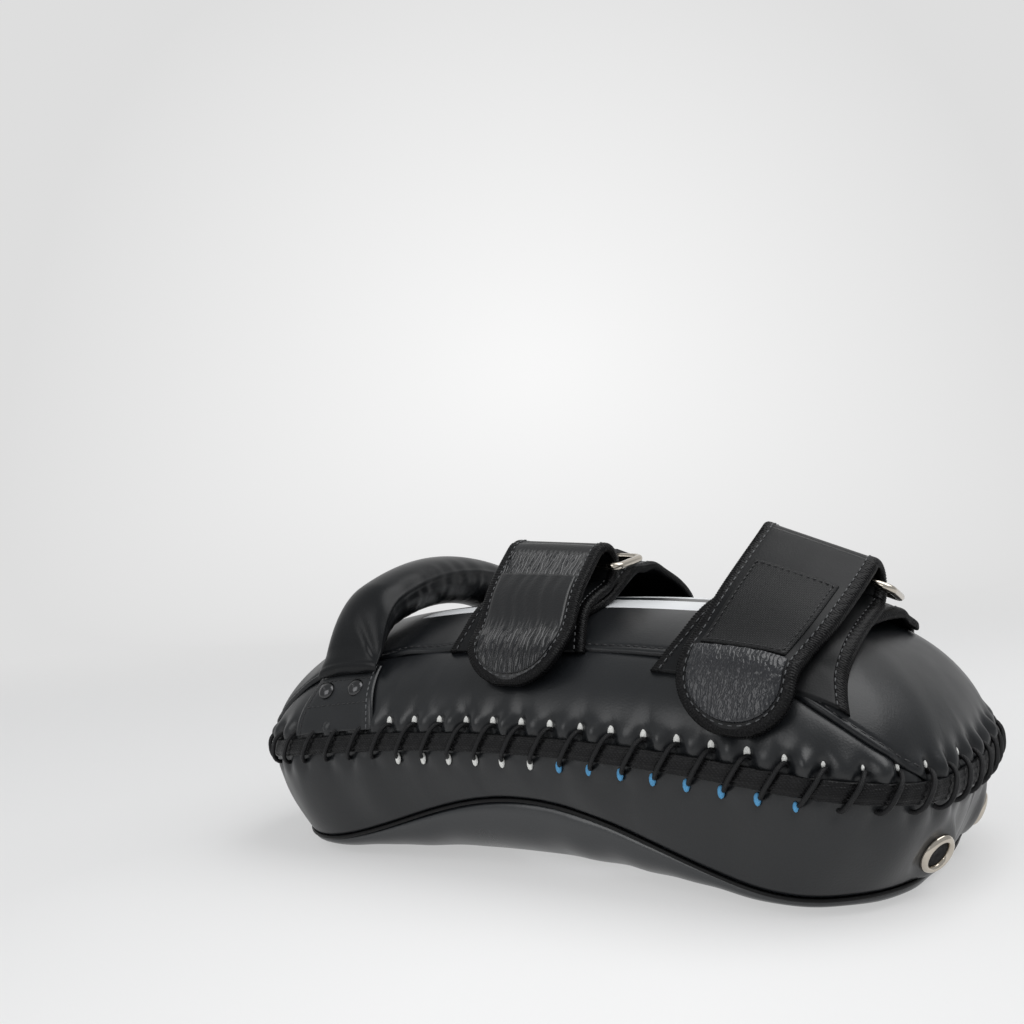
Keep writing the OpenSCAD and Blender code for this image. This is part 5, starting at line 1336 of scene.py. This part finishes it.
for strap in STRAPS:
    name, x, half, tilt = strap["name"], strap["x"], strap["width"] / 2, strap["tilt"]
    end_body = f"{name}_strap_end"

    # The paths: the strap up from its seam to the fold, the fold round the ring's near bar, the
    # tongue from its tip back to the fold, and the flap under the fold and the ring's tab.
    middle = np.array((strap["fold_y"], back_level(x, strap["fold_y"]) + strap["fold_height"]))
    strap["fold"] = middle
    lean = np.array((np.cos(np.radians(FOLD_LEAN)), np.sin(np.radians(FOLD_LEAN))))
    upward = FOLD_MIDDLE * np.array((-lean[1], lean[0]))
    bottom, top = middle - upward, middle + upward
    ring_way = np.array((np.cos(strap["slope"]), np.sin(strap["slope"]) / np.cos(tilt)))
    far_bar = middle + RING_SPAN * ring_way
    under_tab = [
        (*(far_bar + along * ring_way - (0, (down + STRAP_HIGH + FLAP_CLEAR) / np.cos(tilt))), 1, 0)
        for along, down in (
            (0, RING_TAB_ROUND),
            (RING_TAB_TAIL / 2, RING_TAB_ROUND + RING_TAB_DROP / 2 - RING_TAB_HOLLOW),
            (RING_TAB_TAIL, RING_TAB_DROP + RING_TAB_WALL - RING_TAB_ROUND))]
    slant = strap["strap_slant"]
    strap_path = smooth_curve((
        *lying(strap, slant, (strap["sewn"], SEWN_REST, 0), *STRAP_UP),
        (*(bottom - STRAP_LEAD * lean), 1, 0), (*bottom, 1, 0)))
    under_fold = middle[1] - FOLD_MIDDLE - STRAP_THICKNESS - strap["flap_pass"]
    flap_path = smooth_curve((
        *lying(strap, slant, FLAP_START),
        (middle[0], under_fold, FLAP_LIFT, slant * (1 - FLAP_LIFT)), *under_tab,
        *lying(strap, slant, *strap["flap_arch"], FLAP_END)))
    tongue_path = smooth_curve((
        *lying(strap, strap["tongue_slant"], (strap["tip"], TIP_REST, 0), *TONGUE_UP),
        (*(top - TONGUE_LEAD * lean), 1, 0), (*top, 1, 0)))
    bend = np.radians(np.linspace(FOLD_LEAN - 90, FOLD_LEAN + 90, FOLD_STEPS))
    fold_path = measured(points_of(
        middle[0] + FOLD_MIDDLE * np.cos(bend), middle[1] + FOLD_MIDDLE * np.sin(bend), 1))
    fold_path = np.column_stack((fold_path, np.zeros(FOLD_STEPS)))

    # The sewn strap and the flap: padded leather, flared where each is sewn into its back seam,
    # with ribbed tape bound and sewn round both long edges.
    for part, path, flare in (
            ("strap", strap_path, strap["flare"]), ("flap", flap_path, FLAP_FLARE)):
        runs = np.linspace(0, path[-1, 0], STRAP_ROWS)
        from_seam = runs / path[-1, 0] if part == "strap" else 1 - runs / path[-1, 0]
        flared = half + flare / 2 * (1 - from_seam) ** FLARE_POWER
        leather = strip(
            strap, part + "_leather", path, runs, flared - LEATHER_INSET, STRAP_LOW, STRAP_HIGH,
            strap_leather, crown=STRAP_CROWN, wrinkles=STRAP_WRINKLES)
        fit(leather, "case", "strap_leather", f"{name}_{part}", fill=0.5)
        for tape, row in bound_sides(strap, part, path, runs, flared, 1, STRAP_STITCH):
            fit(tape, "case", "edge_tape", f"{name}_{part}_binding")
            fit(row, "case", "edge_tape")

    # The fold: the same leather and binding, turned round the ring's near bar. It bends as the
    # tongue is peeled, but here its pieces are only baked in place.
    runs = np.linspace(0, fold_path[-1, 0], FOLD_ROWS)
    fold = strip(
        strap, "fold_leather", fold_path, runs, half - LEATHER_INSET, STRAP_LOW, STRAP_HIGH,
        strap_leather, crown=STRAP_CROWN)
    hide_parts(f"{name}_fold")
    fold_pieces = [fold]
    halves = np.full(FOLD_ROWS, half)
    for tape, row in bound_sides(strap, "fold", fold_path, runs, halves, -1, FOLD_STITCH):
        fold_pieces += [tape, row]
    for piece in fold_pieces:
        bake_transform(piece)

    # The tongue: soft leather with a rounded tip, bound and sewn round it, and a facing sewn over
    # its tip half. On the wrist strap the creases run on past the facing.
    whole = tongue_path[-1, 0]
    depth = TIP_SHARE * strap["width"]
    facing_end = max(strap["facing"] * whole, depth + FACING_PAST_TIP)
    banded = strap_leather
    if name == "wrist":
        banded = creased_material(
            *BAND_GRAIN, facing_end, facing_end + BAND_LENGTH, BAND_FADE)
    runs, widths = tongue_plan(LEATHER_INSET, depth, whole, half - LEATHER_INSET, TONGUE_ROWS)
    tongue = strip(
        strap, "tongue_leather", tongue_path, runs, widths, STRAP_LOW, STRAP_HIGH, banded,
        crown=TONGUE_CROWN)
    fit(tongue, end_body, "strap_leather", f"{name}_tongue", fill=0.5)
    edge, inward = tongue_edge(whole, half, depth)
    tape = bind(strap, "tongue_binding_tape", tongue_path, edge, inward)
    fit(tape, end_body, "edge_tape", f"{name}_tongue_binding")
    inset, off = TONGUE_SEAM
    line, rise = sewn_line(strap, tongue_path, edge + inward * inset, off)
    row = stitch_row(f"{name}_tongue_stitches", line, rise, grey_thread_and_glint, *TONGUE_STITCH)
    fit(row, end_body, "edge_tape")
    runs, widths = tongue_plan(FACING_INSET, depth, facing_end, half - FACING_INSET, FACING_ROWS)
    facing = strip(
        strap, "tongue_facing_leather", tongue_path, runs, widths, STRAP_HIGH,
        STRAP_HIGH + FACING_THICKNESS, creased_material(*strap["grain"]),
        crown=strap["facing_crown"], wrinkles=FACING_WRINKLES, columns=34)
    fit(facing, end_body, "strap_leather", f"{name}_tongue_facing")

    # Hook tape sewn under the tongue and loop tape on the strap: woven nylon that meets when the
    # tongue is pressed down.
    runs = depth + np.linspace(*HOOK_RUN, NAP_ROWS)
    hook = strip(
        strap, "hook_tape", tongue_path, runs, half - NAP_INSET, STRAP_LOW - NAP_FAR,
        STRAP_LOW - NAP_NEAR, hook_rows)
    fit(hook, end_body, "hook_and_loop", f"{name}_hook_patch")
    runs = np.linspace(LOOP_START, LOOP_SHARE * strap_path[-1, 0], NAP_ROWS)
    loop = strip(
        strap, "loop_tape", strap_path, runs, half - NAP_INSET, STRAP_HIGH + NAP_NEAR,
        STRAP_HIGH + NAP_FAR, loop_pile)
    fit(loop, "case", "hook_and_loop", f"{name}_loop_patch")

    # The ring: nickel-plated wire bent to a rectangle, a quarter turn at each corner. Its near bar
    # lies in the fold and its far bar in a tab.
    corner = np.linspace(0, np.pi / 2, RING_CORNER_STEPS)
    turn = np.concatenate([corner + k * np.pi / 2 for k in range(4)])
    right, far = (
        np.repeat(side, RING_CORNER_STEPS) for side in ((1, -1, -1, 1), (1, 1, -1, -1)))
    wire = points_of(
        (half + RING_ROOM - RING_BEND) * right + RING_BEND * np.cos(turn),
        RING_SPAN / 2 + (RING_SPAN / 2 - RING_BEND) * far + RING_BEND * np.sin(turn), 0)
    wire_grid = ring_points(strap, round_wire(wire, RING_WIRE, RING_SIDES, UP))
    ring = tube_piece(f"{name}_ring_wire", wire_grid, nickel, capped=False)
    fit(ring, f"{name}_link", "nickel_plate", f"{name}_ring")

    # The ring's tab: a strip of the strap leather folded round the far bar, with its two tails sewn
    # flat to the flap.
    bend = np.radians(np.linspace(90, 270, RING_TAB_TURN))
    tail = np.linspace(RING_TAB_TAIL_FROM, 1, RING_TAB_ALONG)
    under_tail = 2 * RING_TAB_ROUND - RING_TAB_DROP - RING_TAB_WALL
    tab_y = np.concatenate((
        RING_TAB_ROUND * np.cos(bend), RING_TAB_TAIL * tail, RING_TAB_TAIL * tail[::-1]))
    tab_z = np.concatenate((
        RING_TAB_ROUND * np.sin(bend), under_tail * tail - RING_TAB_ROUND,
        RING_TAB_ROUND - RING_TAB_DROP * tail[::-1]))
    steps = np.linspace(RING_TAB_INSET - half, half - RING_TAB_INSET, RING_TAB_ACROSS)[:, None]
    tab_grid = ring_points(strap, points_of(steps, RING_SPAN + tab_y, tab_z))
    ring_tab = tube_piece(f"{name}_ring_tab_leather", tab_grid, strap_leather)
    fit(ring_tab, "case", "strap_leather", f"{name}_ring_tab")

    # The forearm strap's patch: plain woven cloth on the tongue past its facing, sewn round its
    # edge.
    if name == "forearm":
        start = facing_end + PATCH_GAP
        end = start + PATCH_LENGTH
        patch_high = STRAP_HIGH + PATCH_THICKNESS
        patch = strip(
            strap, "cloth_patch", tongue_path, np.linspace(start, end, PATCH_ROWS), PATCH_WIDTH / 2,
            STRAP_HIGH, patch_high, patch_woven, crown=PATCH_CROWN)
        fit(patch, end_body, "strap_leather", "forearm_label_patch")
        low, high = start + PATCH_SEWN_IN, end - PATCH_SEWN_IN
        side = PATCH_WIDTH / 2 - PATCH_SEWN_IN
        square = np.array(((-side, low), (side, low), (side, high), (-side, high), (-side, low)))
        line, rise = sewn_line(
            strap, tongue_path, resample(square, 1.0), patch_high + PATCH_SEAM_RISE)
        row = stitch_row("forearm_patch_stitches", line, rise, black_thread, *PATCH_STITCH)
        fit(row, end_body, "edge_tape")
